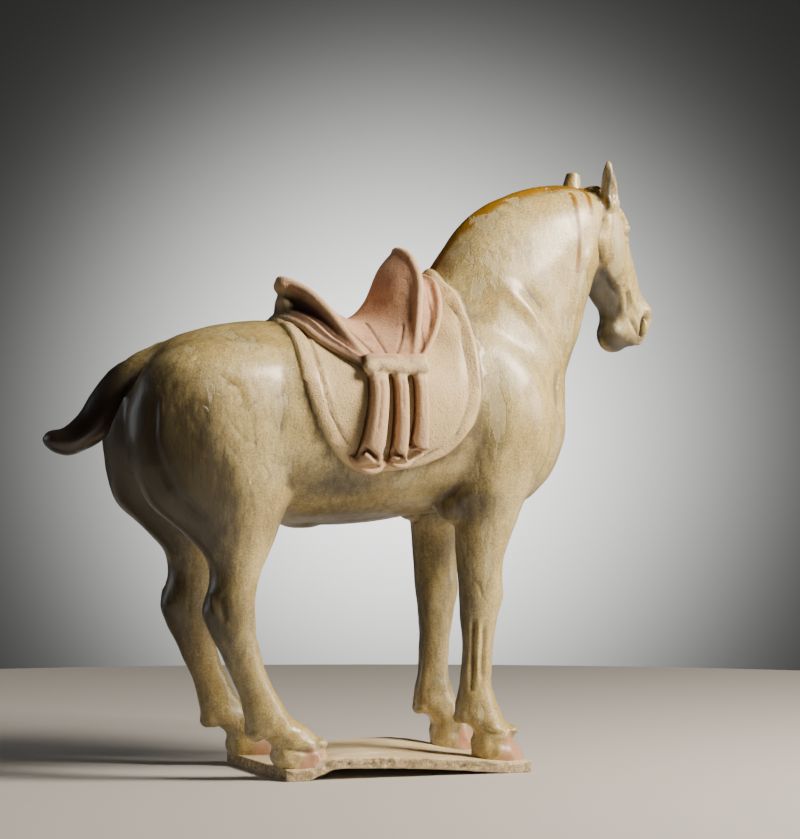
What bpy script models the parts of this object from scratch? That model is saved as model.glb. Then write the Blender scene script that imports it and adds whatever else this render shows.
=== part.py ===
"""Glazed earthenware horse of the Sui to early Tang type, standing on a thin warped slab.

The horse faces +X with its left side to +Y. It is one fired piece: horse, saddle and slab
were luted together before firing. The figure's own points are written in millimetres at a
height of 370 above the slab's underside, and FIGURE turns them to metres.
"""
import math

import bmesh
import bpy
import numpy as np
from mathutils import Matrix, Vector
from mathutils.bvhtree import BVHTree

# Driving dimensions, in metres
FIGURE_HEIGHT = 0.3630
SLAB_THICKNESS = 0.0070
SLAB_ARCH = 0.0062
SLAB_PAD_LENGTH = 0.0160
SLAB_BEHIND_HEELS = 0.0010
SLAB_BESIDE_HOOVES = 0.0010
TOE_OVERHANG = 0.0010
HOOF_BED = 0.0010
BLANKET_THICKNESS = 0.0020
PAD_THICKNESS = 0.0045
SEAT_THICKNESS = 0.0050
STRAP_RADIUS = 0.0046
MANE_HEIGHT = 0.0022
BELLY_HOLE_LENGTH = 0.0440
BELLY_HOLE_WIDTH = 0.0340
BELLY_HOLE_DEPTH = 0.0220
TRIANGLES = 8500

# The figure's points were taken at this height above its soles, which stood at SOLE
FIGURE_POINTS_HEIGHT = 363.0
SOLE = 7.0
FIGURE = FIGURE_HEIGHT / FIGURE_POINTS_HEIGHT
VOXEL = 1.8 * FIGURE
FIGURE_PLACE = (Matrix.Translation((0, 0, SLAB_THICKNESS - HOOF_BED)) @ Matrix.Scale(FIGURE, 4)
                @ Matrix.Translation((0, 0, -SOLE)))

# The head is turned to the horse's left about the poll
POLL = (141.7, 10.0)
HEAD_TURN = math.radians(24)
HEAD_PLACE = (FIGURE_PLACE @ Matrix.Translation((POLL[0], POLL[1], 0))
              @ Matrix.Rotation(HEAD_TURN, 4, "Z"))

GLAZED_CLAY = (0.58, 0.49, 0.33, 1.0)
GLAZED_CLAY_ROUGHNESS = 0.35
NEAR, FAR = -1, 1


# Form tools

def smooth_rows(rows, steps):
    """Rows of numbers on a smooth curve through the given rows, by cubic Hermite spans."""
    rows = np.array(rows, dtype=float)
    gaps = np.linalg.norm(np.diff(rows[:, :4], axis=0), axis=1) + 1e-9
    slopes = np.diff(rows, axis=0) / gaps[:, None]
    share = (gaps[:-1] / (gaps[:-1] + gaps[1:]))[:, None]
    middle = slopes[:-1] * (1 - share) + slopes[1:] * share
    tangents = np.vstack([slopes[:1], middle, slopes[-1:]])
    result = []
    for i, gap in enumerate(gaps):
        for t in np.linspace(0, 1, steps, endpoint=False):
            start = (2*t**3 - 3*t**2 + 1) * rows[i] + (t**3 - 2*t**2 + t) * gap * tangents[i]
            end = (3*t**2 - 2*t**3) * rows[i+1] + (t**3 - t**2) * gap * tangents[i+1]
            result.append(start + end)
    result.append(rows[-1])
    return result


def section(row, around):
    """One closed section, from point A to point B of the profile and a half width each way.

    row holds A (x, z), B (x, z), the half width, the centre's y, the share of the way from
    A to B at which it is widest, and the squareness, where 2 is an ellipse.
    """
    ax, az, bx, bz, half_width, centre_y, widest, squareness = row
    long_x, long_z = ax - bx, az - bz
    power = 2.0 / squareness
    points = []
    for k in range(around):
        angle = 2 * math.pi * k / around
        along = math.copysign(abs(math.cos(angle)) ** power, math.cos(angle))
        across = math.copysign(abs(math.sin(angle)) ** power, math.sin(angle))
        reach = widest * (along - 1) if along > 0 else (1 - widest) * along - widest
        points.append((ax + long_x * reach, centre_y + half_width * across, az + long_z * reach))
    return points


def loft(rows, steps=4, around=28, place=FIGURE_PLACE):
    """A closed form through its sections: one ring of edges, extruded on from row to row."""
    sections = [section(row, around) for row in smooth_rows(rows, steps)]
    form = bmesh.new()
    bmesh.ops.create_circle(form, cap_ends=False, radius=1.0, segments=around)
    ring = list(form.verts)
    edges = list(form.edges)
    open_ends = list(edges)
    for vert, point in zip(ring, sections[0]):
        vert.co = point
    for points in sections[1:]:
        made = bmesh.ops.extrude_edge_only(form, edges=edges)["geom"]
        fresh = {item for item in made if isinstance(item, bmesh.types.BMVert)}
        ring = [next(edge.other_vert(vert) for edge in vert.link_edges
                     if edge.other_vert(vert) in fresh) for vert in ring]
        edges = [item for item in made if isinstance(item, bmesh.types.BMEdge)
                 and item.verts[0] in fresh and item.verts[1] in fresh]
        for vert, point in zip(ring, points):
            vert.co = point
    bmesh.ops.holes_fill(form, edges=open_ends + edges)
    bmesh.ops.recalc_face_normals(form, faces=form.faces)
    bmesh.ops.transform(form, matrix=place, verts=form.verts)
    return form


def ball(centre, radii, place=FIGURE_PLACE):
    """An ellipsoid of clay."""
    form = bmesh.new()
    bmesh.ops.create_uvsphere(form, u_segments=28, v_segments=18, radius=1.0)
    matrix = place @ Matrix.Translation(centre) @ Matrix.Diagonal((*radii, 1.0))
    bmesh.ops.transform(form, matrix=matrix, verts=form.verts)
    return form


def roll(points, radii, around=14):
    """A round roll of clay along places in metres, with round ends."""
    form = bmesh.new()
    points = [Vector(point) for point in points]
    for i, (point, radius) in enumerate(zip(points, radii)):
        step = points[min(i + 1, len(points) - 1)] - points[max(i - 1, 0)]
        turn = step.to_track_quat("Z", "Y").to_matrix().to_4x4()
        matrix = Matrix.Translation(point) @ turn
        if i == 0:
            bmesh.ops.create_circle(form, cap_ends=False, radius=radius, segments=around,
                                    matrix=matrix)
            edges = list(form.edges)
            first = list(edges)
            continue
        before = {edge for edge in form.edges}
        bmesh.ops.create_circle(form, cap_ends=False, radius=radius, segments=around,
                                matrix=matrix)
        after = [edge for edge in form.edges if edge not in before]
        bmesh.ops.bridge_loops(form, edges=edges + after)
        edges = after
    bmesh.ops.holes_fill(form, edges=first + edges)
    for i in (0, -1):
        matrix = Matrix.Translation(points[i]) @ Matrix.Scale(radii[i], 4)
        bmesh.ops.create_uvsphere(form, u_segments=around, v_segments=8, radius=1.0,
                                  matrix=matrix)
    bmesh.ops.recalc_face_normals(form, faces=form.faces)
    return form


def to_object(form, name, collection):
    """A bmesh made a mesh object."""
    mesh = bpy.data.meshes.new(name)
    form.to_mesh(mesh)
    form.free()
    made = bpy.data.objects.new(name, mesh)
    collection.objects.link(made)
    return made


def with_modifiers(target):
    """Apply every modifier of an object."""
    graph = bpy.context.evaluated_depsgraph_get()
    mesh = bpy.data.meshes.new_from_object(target.evaluated_get(graph))
    old = target.data
    target.modifiers.clear()
    target.data = mesh
    bpy.data.meshes.remove(old)
    return target


def fuse(forms, name, collection, voxel):
    """Join forms that run into each other to one skin of clay."""
    joined = bmesh.new()
    for form in forms:
        piece = bpy.data.meshes.new("form")
        form.to_mesh(piece)
        form.free()
        joined.from_mesh(piece)
        bpy.data.meshes.remove(piece)
    target = to_object(joined, name, collection)
    remesh = target.modifiers.new("one skin", "REMESH")
    remesh.mode = "VOXEL"
    remesh.voxel_size = voxel
    remesh.use_smooth_shade = True
    return with_modifiers(target)


class Clay:
    """The skin of one object, pushed in and out along its normals as a modeller does."""

    def __init__(self, target):
        self.mesh = target.data
        count = len(self.mesh.vertices)
        self.places = np.empty(count * 3)
        self.mesh.vertices.foreach_get("co", self.places)
        self.places = self.places.reshape(-1, 3)
        self.update()

    def update(self):
        """Write the moved places back, and read the normals of the new surface."""
        self.mesh.vertices.foreach_set("co", self.places.ravel())
        self.mesh.update()
        self.normals = np.empty(self.places.size)
        self.mesh.vertices.foreach_get("normal", self.normals)
        self.normals = self.normals.reshape(-1, 3)
        faces = [tuple(polygon.vertices) for polygon in self.mesh.polygons]
        self.tree = BVHTree.FromPolygons([Vector(place) for place in self.places], faces)

    def onto(self, points, place=FIGURE_PLACE):
        """Figure points moved to the nearest place on the skin."""
        return [self.tree.find_nearest(place @ Vector(point))[0] for point in points]

    def flank(self, x, z, side, lift=0.0):
        """The place on the flank at a figure point's x and z, seen from its side."""
        start = FIGURE_PLACE @ Vector((x, side * 200, z))
        hit = self.tree.ray_cast(start, Vector((0, -side, 0)))
        return hit[0] + hit[1] * lift

    def push(self, amounts):
        """Move each vertex along its normal."""
        self.places += self.normals * amounts[:, None]

    def distance(self, points):
        """Each vertex's distance to a line of places."""
        nearest = np.full(len(self.places), 1e9)
        points = np.array([tuple(point) for point in points])
        for start, end in zip(points[:-1], points[1:]):
            run = end - start
            share = np.clip((self.places - start) @ run / max(run @ run, 1e-12), 0, 1)
            gap = np.linalg.norm(self.places - start - share[:, None] * run, axis=1)
            nearest = np.minimum(nearest, gap)
        return nearest

    def line(self, points, width, height, place=FIGURE_PLACE):
        """A ridge along figure points, or a groove where height is below nothing."""
        trace = self.onto(smooth_line(points), place)
        gap = self.distance(trace) / (width * FIGURE)
        self.push(height * FIGURE * np.exp(-gap * gap))

    def bulge(self, centre, radii, height, place=FIGURE_PLACE):
        """A soft mound, or a hollow where height is below nothing."""
        inverse = np.array(place.inverted())
        local = self.places @ inverse[:3, :3].T + inverse[:3, 3]
        gap = np.linalg.norm((local - np.array(centre)) / np.array(radii), axis=1)
        self.push(height * FIGURE * np.exp(-gap * gap))

    def raise_inside(self, outline, height, edge):
        """Raise the skin inside an outline of figure x and z, on both flanks."""
        corners = np.array([tuple(FIGURE_PLACE @ Vector((x, 0, z)))[::2] for x, z in outline])
        flat = self.places[:, ::2]
        inside = np.zeros(len(flat), dtype=bool)
        nearest = np.full(len(flat), 1e9)
        for start, end in zip(corners, np.roll(corners, -1, axis=0)):
            run = end - start
            share = np.clip((flat - start) @ run / (run @ run), 0, 1)
            nearest = np.minimum(nearest, np.linalg.norm(flat - start - share[:, None] * run,
                                                         axis=1))
            crosses = (flat[:, 1] < start[1]) != (flat[:, 1] < end[1])
            at = start[0] + (flat[:, 1] - start[1]) / (run[1] + 1e-12) * run[0]
            inside ^= crosses & (flat[:, 0] < at)
        rise = np.clip(np.where(inside, nearest, -nearest) / (edge * FIGURE) + 0.5, 0, 1)
        self.push(height * rise * rise * (3 - 2 * rise))


def smooth_line(points, steps=5):
    """A line through points, rounded between them."""
    rows = [tuple(point) + (0,) * (4 - len(point)) for point in points]
    return [tuple(row[:len(points[0])]) for row in smooth_rows(rows, steps)]


def soften(target, zones, passes, factor=0.5):
    """Smooth the skin near the given places: (figure point, radius in millimetres)."""
    group = target.vertex_groups.new(name="soften")
    places = np.empty(len(target.data.vertices) * 3)
    target.data.vertices.foreach_get("co", places)
    places = places.reshape(-1, 3)
    weights = np.zeros(len(places))
    for centre, radius in zones:
        gap = np.linalg.norm(places - np.array(FIGURE_PLACE @ Vector(centre)), axis=1)
        weights = np.maximum(weights, np.clip(1.6 - 1.6 * gap / (radius * FIGURE), 0, 1))
    for step in range(1, 11):
        chosen = np.nonzero(np.ceil(weights * 10) == step)[0]
        group.add([int(index) for index in chosen], step / 10, "REPLACE")
    smooth = target.modifiers.new("soften", "SMOOTH")
    smooth.factor = factor
    smooth.iterations = passes
    smooth.vertex_group = group.name
    return with_modifiers(target)


# The horse's forms. Each row: A x, A z, B x, B z, half width, centre y, widest at, squareness

def trunk():
    """Rump, barrel and chest, from the tail forward. A is on the back, B on the belly."""
    return loft([
        (-156, 226, -154, 196, 8, 0, 0.5, 2.0),
        (-151, 240, -148, 180, 26, 0, 0.5, 2.1),
        (-138, 254, -134, 168, 44, 0, 0.5, 2.2),
        (-112, 265, -108, 156, 57, 0, 0.5, 2.2),
        (-80, 270, -78, 150, 62, 0, 0.5, 2.2),
        (-50, 268, -50, 148, 63, 0, 0.5, 2.2),
        (-20, 264, -20, 148, 64, 0, 0.5, 2.2),
        (12, 266, 12, 152.5, 63, 0, 0.5, 2.2),
        (40, 276, 42, 155, 60, 0, 0.55, 2.2),
        (66, 278, 72, 156, 55, 0, 0.58, 2.2),
        (87, 270, 92, 162, 47, 0, 0.56, 2.2),
        (101, 256, 105, 176, 35, 0, 0.52, 2.1),
        (109.5, 240, 112.5, 196, 20, 0, 0.5, 2.0),
        (113, 228, 114, 212, 7, 0, 0.5, 2.0),
    ])


def neck():
    """The thick arched neck. A is on the crest, B on the throat."""
    return loft([
        (-4, 262, 82, 168, 44, 0, 0.6, 2.0),
        (18, 284, 104, 184, 49, 0, 0.62, 2.0),
        (32, 300, 113.5, 206, 45, 0, 0.62, 2.0),
        (42, 314, 116, 229, 39.5, 0, 0.6, 2.05),
        (54, 328, 122.5, 249, 34.5, 0.5, 0.58, 2.05),
        (68, 339, 130, 268, 30.5, 1.5, 0.56, 2.05),
        (86, 347, 135, 284, 28, 3, 0.54, 2.05),
        (106, 352, 140, 297, 26, 5.5, 0.52, 2.05),
        (125, 354, 147, 308, 23.5, 8, 0.5, 2.05),
        (141, 352, 152, 322, 18, 10, 0.5, 2.0),
    ])


def haunch(side):
    """The hind leg from hip to hoof. A is in front, B behind."""
    return loft([
        (-66, 254, -128, 258, 18, 30 * side, 0.5, 2.0),
        (-60, 238, -152, 244, 27, 33 * side, 0.5, 2.2),
        (-58, 218, -164, 222, 31.5, 34 * side, 0.5, 2.2),
        (-59, 198, -166.5, 200, 32, 34.5 * side, 0.5, 2.2),
        (-64, 180, -163, 182, 29.5, 36.5 * side, 0.5, 2.2),
        (-71.5, 162, -152.5, 161, 25, 39.5 * side, 0.48, 2.1),
        (-77.5, 146, -134, 145, 20.5, 42 * side, 0.45, 2.1),
        (-85, 130, -121, 131, 16.5, 43.5 * side, 0.45, 2.1),
        (-91.5, 114, -119, 115, 13.5, 44.5 * side, 0.45, 2.1),
        (-93.3, 101, -124, 99.5, 12.5, 45 * side, 0.4, 2.2),
        (-92, 88, -120, 88.5, 12, 45.5 * side, 0.42, 2.2),
        (-88.5, 72, -111.5, 72, 10.4, 46 * side, 0.45, 2.1),
        (-84.3, 60, -105.5, 59.5, 9.6, 46.5 * side, 0.45, 2.1),
        (-78.5, 49, -101, 48, 9.8, 46.8 * side, 0.45, 2.1),
        (-71.5, 38.5, -98.5, 36, 10.8, 46.8 * side, 0.45, 2.1),
        (-65, 33, -97, 26.5, 11.4, 46.5 * side, 0.45, 2.1),
        (-59.5, 29.8, -86, 25, 11.8, 46.2 * side, 0.45, 2.1),
        (-53, 23, -82.5, 20, 12.4, 46 * side, 0.5, 2.3),
        (-47.5, 13, -82, 12, 13.4, 45.5 * side, 0.5, 2.4),
        (-44.5, 5, -77, 5, 14, 45.5 * side, 0.5, 2.4),
    ], place=FIGURE_PLACE)


def fore_leg(side):
    """The shoulder and fore leg down to the hoof. A is in front, B behind."""
    return loft([
        (78, 262, 16, 262, 16, 30 * side, 0.5, 2.0),
        (92, 240, 14, 240, 22, 33 * side, 0.5, 2.1),
        (97, 215, 15, 216, 25.5, 34 * side, 0.5, 2.1),
        (94, 192, 21, 194, 24.5, 35.5 * side, 0.5, 2.1),
        (86, 175, 29, 177, 21.5, 37.5 * side, 0.5, 2.1),
        (76.8, 160, 34, 161, 18, 38.5 * side, 0.48, 2.1),
        (70.3, 144, 34.9, 145, 15, 39 * side, 0.45, 2.1),
        (65, 130, 35.8, 130, 13, 39 * side, 0.45, 2.1),
        (63.6, 114, 37.2, 114, 12, 38.5 * side, 0.45, 2.2),
        (63.6, 106, 38, 105, 12, 38 * side, 0.45, 2.3),
        (61.2, 94, 38.8, 94, 10.6, 37.5 * side, 0.45, 2.2),
        (59.2, 80, 40.1, 80, 9.2, 37 * side, 0.45, 2.1),
        (58, 66, 39.6, 66, 8.8, 37 * side, 0.45, 2.1),
        (57.8, 53, 38, 52, 9.3, 37 * side, 0.45, 2.1),
        (60.6, 42, 36, 41, 10.4, 37 * side, 0.45, 2.1),
        (64.2, 34.5, 36.2, 33, 11.2, 37 * side, 0.45, 2.1),
        (67.6, 29.5, 44.5, 28.4, 11.8, 37 * side, 0.5, 2.1),
        (71.2, 25.2, 47.5, 24.6, 12.6, 37 * side, 0.5, 2.2),
        (72, 20, 46.8, 20, 12.8, 37 * side, 0.5, 2.2),
        (76, 12, 46.8, 12, 14.2, 37 * side, 0.5, 2.4),
        (79, 5, 46.8, 5, 15, 37 * side, 0.5, 2.4),
    ])


def head():
    """The head in its own frame, forward along x from the poll. A is the face, B the jaw."""
    skull = loft([
        (2, 357, -9, 345, 12, 0, 0.5, 2.1),
        (12, 350, -8, 334, 17, 0, 0.5, 2.2),
        (19, 341, -9, 322, 19, 0, 0.45, 2.3),
        (22.5, 331, -9.5, 312, 19.2, 0, 0.5, 2.4),
        (26, 321, -7, 302, 18.4, 0, 0.55, 2.3),
        (30, 311, 0, 295, 16.6, 0, 0.6, 2.2),
        (34.5, 301, 8, 289, 14.2, 0, 0.6, 2.1),
        (38.5, 291, 13.5, 282.5, 12.3, 0, 0.55, 2.1),
        (42, 281.5, 17, 276, 12, 0, 0.5, 2.2),
        (44.5, 272, 18.5, 269, 12.8, 0, 0.4, 2.3),
        (44.5, 264.5, 21, 262.5, 12, 0, 0.4, 2.3),
        (41, 258, 26, 257.5, 9, 0, 0.45, 2.1),
    ], place=HEAD_PLACE, around=32)
    chin = ball((24.5, 0, 262), (8.5, 9.5, 10), place=HEAD_PLACE)
    return [skull, chin]


def ears():
    """The whole right ear and the stub of the broken left one, in the head's frame."""
    right = loft([
        (8.5, 342, -6.5, 342, 6.2, -14.5, 0.5, 2.0),
        (8, 351, -5.8, 350, 6.2, -15, 0.5, 2.0),
        (7, 360, -4.5, 358.5, 5.2, -15.2, 0.5, 2.0),
        (4.2, 366.5, -3, 365.5, 3.4, -15.2, 0.5, 2.0),
        (1.6, 370, -1, 369.8, 1.4, -15.2, 0.5, 2.0),
    ], place=HEAD_PLACE, around=20)
    left = loft([
        (8.5, 342, -6.5, 342, 7.5, 14.5, 0.5, 2.0),
        (7, 352, -5.5, 352, 6.8, 15, 0.5, 2.0),
        (5.5, 361, -4.5, 362.8, 5.2, 15.3, 0.5, 2.2),
    ], place=HEAD_PLACE, around=20)
    return [right, left]


def tail():
    """The bound tail, curving back and down to a blunt lump. A is on top, B below."""
    return loft([
        (-126, 259, -136, 232, 10, 0, 0.5, 2.0),
        (-142, 252, -150, 229, 11, 0, 0.5, 2.0),
        (-155, 247.5, -159, 224, 12, 0, 0.5, 2.0),
        (-166, 241, -164.5, 211, 12.5, 0, 0.5, 2.0),
        (-176.5, 228.5, -170.5, 200, 12.8, 0, 0.5, 2.0),
        (-187, 213, -181.5, 193, 12, 0, 0.5, 2.0),
        (-196.5, 205.6, -193.5, 189.8, 11, 0, 0.5, 2.0),
        (-203.8, 204.2, -202, 192.3, 8.5, 0, 0.5, 2.0),
        (-207.4, 200.4, -206.6, 196, 3, 0, 0.5, 2.0),
    ])


def model_body(collection):
    """The bare horse: its forms joined, softened where they meet, and its muscles carved."""
    forms = [trunk(), neck(), *head(), *ears(), tail()]
    for side in (NEAR, FAR):
        forms += [haunch(side), fore_leg(side)]
    body = fuse(forms, "body", collection, VOXEL)
    joins = [((-110, 0, 180), 50), ((60, 0, 160), 45), ((100, 0, 240), 45),
             ((130, 5, 320), 26), ((0, 0, 270), 40), ((-150, 0, 240), 22)]
    for side in (NEAR, FAR):
        joins += [((-70, side * 45, 190), 60), ((-120, side * 40, 235), 60),
                  ((60, side * 40, 200), 62), ((60, side * 30, 260), 60)]
    soften(body, joins, 24)
    soften(body, [((0, 0, 200), 400)], 2)
    clay = Clay(body)
    for side in (NEAR, FAR):
        carve_muscles(clay, side)
    clay.update()
    return body


def carve_muscles(clay, side):
    """Shoulder, breast, haunch, flank and the tendons of one side."""
    def lines(points):
        return [(x, side * y, z) for x, y, z in points]
    shoulder_front = [(72, 32, 286), (82, 33, 277), (92, 34, 263), (101, 29, 248), (106, 22, 237)]
    breast = [(93, 35, 245), (94, 38, 226), (94, 38, 206), (88, 40, 189), (73, 44, 176)]
    haunch_groove = [(-157, 36, 226), (-153, 45, 212), (-151, 48, 196), (-147, 50, 181),
                     (-138, 54, 167), (-127, 54, 152), (-119, 52, 138)]
    flank_fold = [(-72, 50, 166), (-76, 56, 178), (-84, 60, 190)]
    clay.line(lines(shoulder_front), 3.4, -2.2)
    clay.line(lines(breast), 3.0, -2.4)
    clay.line(lines(haunch_groove), 2.8, -2.4)
    clay.line(lines(flank_fold), 5, -1.5)
    clay.bulge((74, side * 52, 215), (22, 26, 34), 3.0)
    clay.bulge((104, side * 26, 208), (18, 18, 26), 2.4)
    clay.bulge((54, side * 50, 172), (12, 16, 10), 2.0)
    clay.line(lines([(32, 48, 171), (48, 52, 168), (66, 48, 168), (76, 42, 171)]), 3, -1.2)
    clay.line(lines([(137, 18, 315), (127, 24, 303), (120, 25, 287), (116, 26, 270),
                     (112, 28, 250)]), 4.5, 2.0)


# The saddle, in figure points: x, y to one side, z. Each line runs from the spine to the strap
SEAT_LINES = [
    [(-62, 0, 292.5), (-52, 13, 287), (-45.5, 25, 278.5), (-39.5, 35, 269.5), (-35, 42.5, 261),
     (-31, 49, 253), (-27, 53.5, 246)],
    [(-46, 0, 279), (-39, 13, 276), (-33, 25, 269), (-28, 35, 262), (-24.5, 42.5, 256.5),
     (-21, 49, 251), (-18, 54, 245.5)],
    [(-26, 0, 270), (-21, 13, 268.5), (-17.5, 25, 264), (-15, 35, 259), (-13.5, 42.5, 254.5),
     (-12, 49, 250), (-10, 54, 245.5)],
    [(-10, 0, 279), (-5, 12, 276), (-2.5, 23, 270), (-2, 34, 263), (-2.5, 42.5, 256.5),
     (-3.5, 49, 250.5), (-4, 54, 245.5)],
    [(2, 0, 299), (7, 13, 294), (9, 25, 283), (7.5, 35, 271), (5, 43, 260),
     (2.5, 49, 252), (0, 54, 245.5)],
    [(12, 0, 312), (16, 12, 307.5), (16.5, 25, 294), (12, 36, 277), (8, 43.5, 263),
     (5, 49, 254), (2, 53.5, 246)],
]
PAD_OUTLINE = [(-61, 290), (-59, 272), (-56, 266), (-53, 261), (-47, 256), (-40, 250),
               (-31, 243), (-29, 238), (10, 238), (12, 253), (18, 261), (23, 268),
               (27, 275), (30.5, 285), (32, 296), (31, 330)]
BLANKET_OUTLINE = [(-67, 330), (-65, 267), (-64, 254), (-63, 240), (-61, 225), (-57, 211),
                   (-51.5, 197), (-44, 188), (-37, 183), (-29, 180), (-18, 179.5), (-4, 181),
                   (11, 185), (25, 191.5), (36, 201), (42.5, 213), (44.5, 229), (44, 247),
                   (42, 264), (39, 279), (35, 293), (33, 330)]
PLEATS = [
    # top x, foot x, foot z, top radius, foot radius
    (-21.5, -27.5, 188.5, 6.6, 7.6),
    (-6.8, -10.5, 190.5, 5.4, 6.8),
    (5.6, 3.0, 195.0, 4.6, 5.4),
]
STRAP_Z = 241.5
STRAP_ENDS = (-28.5, 9.5)


def sheet(lines, thickness, collection):
    """A bent sheet of clay through lines of places from flank to flank."""
    rows = []
    for line in lines:
        mirrored = [(x, -y, z) for x, y, z in reversed(line[1:])] + line
        rows.append([number for point in mirrored for number in point])
    grid = []
    for row in smooth_rows(rows, 5):
        points = np.array(row).reshape(-1, 3)
        keyed = [tuple(point) + (0,) for point in points]
        grid.append([tuple(point[:3]) for point in smooth_rows(keyed, 3)])
    form = bmesh.new()
    across, along = len(grid[0]), len(grid)
    bmesh.ops.create_grid(form, x_segments=across - 1, y_segments=along - 1, size=1.0)
    order = sorted(form.verts, key=lambda vert: (round(vert.co.y, 5), round(vert.co.x, 5)))
    for index, vert in enumerate(order):
        vert.co = FIGURE_PLACE @ Vector(grid[index // across][index % across])
    target = to_object(form, "sheet", collection)
    solid = target.modifiers.new("thickness", "SOLIDIFY")
    solid.thickness = thickness
    solid.offset = 0.0
    with_modifiers(target)
    form = bmesh.new()
    form.from_mesh(target.data)
    bpy.data.objects.remove(target)
    return form


def rim(line, top_radius, foot_radius):
    """The rounded lip of the seat, over the spine from strap to strap."""
    mirrored = [(x, -y, z) for x, y, z in reversed(line[1:])] + line
    points = [tuple(FIGURE_PLACE @ Vector(point)) for point in smooth_line(mirrored, 3)]
    across = np.abs(np.linspace(-1, 1, len(points)))
    radii = (top_radius + (foot_radius - top_radius) * across) * FIGURE
    return roll(points, radii, around=12)


def pleat(clay, side, top_x, foot_x, foot_z, top_radius, foot_radius):
    """One hanging pleat of the saddle cloth, lying on the flank and widening to its foot."""
    points, radii = [], []
    for t in np.linspace(0, 1, 9):
        bend = 1 - (1 - t) ** 1.6
        x = top_x + (foot_x - top_x) * t * bend ** 0.5
        z = STRAP_Z + (foot_z - STRAP_Z) * t
        points.append(clay.flank(x, z, side, lift=0.0008 * FIGURE))
        radii.append((top_radius + (foot_radius - top_radius) * t ** 2) * FIGURE)
    return roll(points, radii)


def strap(clay, side):
    """The strap that gathers the saddle cloth on one flank."""
    points, radii = [], []
    start, end = STRAP_ENDS
    for t in np.linspace(0, 1, 12):
        points.append(clay.flank(start + (end - start) * t, STRAP_Z + 1.2 * math.sin(7 * t), side,
                                 lift=0.0026 * FIGURE))
        radii.append(STRAP_RADIUS * (1 + 0.06 * math.sin(19 * t)))
    return roll(points, radii)


def dress(body, collection):
    """Blanket, saddle pad, seat, straps and pleats, made one skin with the horse."""
    clay = Clay(body)
    clay.raise_inside(BLANKET_OUTLINE, BLANKET_THICKNESS, 2.0)
    clay.update()
    clay.raise_inside(PAD_OUTLINE, PAD_THICKNESS, 1.8)
    clay.update()
    forms = [sheet(SEAT_LINES, SEAT_THICKNESS, collection), ball((-51, 0, 271), (15, 17, 12)),
             ball((-18, 0, 256), (34, 34, 12)), ball((5, 0, 270), (12, 24, 20)),
             rim(SEAT_LINES[0], 3.0, 2.6), rim(SEAT_LINES[-1], 3.6, 2.8)]
    for side in (NEAR, FAR):
        forms.append(strap(clay, side))
        forms += [pleat(clay, side, *sizes) for sizes in PLEATS]
    skin = bmesh.new()
    skin.from_mesh(body.data)
    bpy.data.objects.remove(body)
    return fuse([skin] + forms, "horse", collection, VOXEL * 0.85)


def carve_details(horse):
    """Mane, blanket border, folds and the face, cut into the joined skin."""
    clay = Clay(horse)
    crest = [(34, 0, 303), (42, 0, 315), (54, 0.5, 329), (68, 1.5, 340), (86, 3, 348),
             (106, 5.5, 353), (125, 8, 355), (136, 9.5, 354)]
    clay.line(crest, 4.2, MANE_HEIGHT / FIGURE)
    for side in (NEAR, FAR):
        carve_blanket(clay, side)
        carve_face(clay, side)
    clay.bulge((43, 0, 274), (4, 9, 5), -2.0, place=HEAD_PLACE)
    clay.update()


def carve_blanket(clay, side):
    """The border line of the blanket and the folds drawn up from the strap."""
    border = [(-60, 262), (-58, 248), (-55, 235), (-51, 219), (-45, 205), (-38, 194)]
    front = [(31, 284), (35.5, 270), (38, 254), (39, 236), (37.5, 221), (33, 209), (25, 200)]
    for outline in (border, front):
        clay.line([(x, side * 55, z) for x, z in outline], 1.3, -1.0)
    rim = [(35, 291), (40, 276), (42.5, 260), (43, 244), (43.5, 229), (41, 214), (35, 203)]
    clay.line([(x, side * 55, z) for x, z in rim], 2.0, 0.9)


def carve_face(clay, side):
    """Jaw, cheek, eye, nostril and mouth of one side, in the head's frame."""
    def line(points, width, height):
        clay.line([(x, side * y, z) for x, y, z in points], width, height, place=HEAD_PLACE)

    def bulge(centre, radii, height):
        clay.bulge((centre[0], side * centre[1], centre[2]), radii, height, place=HEAD_PLACE)

    line([(-8, 19, 334), (-10, 20, 326), (-11, 20, 315), (-11, 19, 304)], 2.6, -2.8)
    bulge((3, 19, 314), (10, 8, 18), 2.2)
    line([(-5, 18, 300), (2, 18, 292), (10, 17, 290), (16, 16, 297)], 2.4, -1.3)
    line([(8, 19, 346), (15, 18.5, 339), (20, 17, 333)], 2.6, 2.4)
    bulge((16.5, 18, 329.5), (4.2, 5, 3.4), 2.6)
    line([(11, 19, 332), (15, 19.5, 334), (19.5, 17.5, 332)], 1.5, -1.8)
    line([(12, 19, 326), (16.5, 19, 324.5), (20.5, 16, 326)], 1.5, -1.4)
    line([(22, 15, 306), (26, 13, 292), (30, 12.5, 279)], 2.8, -1.8)
    line([(29, 12, 308), (34, 10.5, 294), (37, 10.5, 282)], 2.4, 0.9)
    bulge((40, 12, 276), (5, 4, 6), 2.2)
    bulge((34, 13, 267.5), (2.6, 4, 6.2), -3.6)
    line([(24, 11, 267), (29, 12, 261), (35, 9, 257)], 1.5, -2.6)


def belly_hole():
    """The oval vent hole left open in the belly."""
    radii = (BELLY_HOLE_LENGTH / 2 / FIGURE, BELLY_HOLE_WIDTH / 2 / FIGURE,
             BELLY_HOLE_DEPTH / FIGURE)
    return ball((-11, 0, 149), radii)


# Where the hooves end on the slab, in figure millimetres
HIND_HEEL, FORE_TOE = -77, 79
HIND_HOOF_SIDE, FORE_HOOF_SIDE = 59.5, 54

# The slab's grid, and where along it and across it the arch has its crown
SLAB_COLUMNS, SLAB_ROWS = 18, 8
CROWN, CROWN_SKEW = 0.42, 0.22


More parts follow.
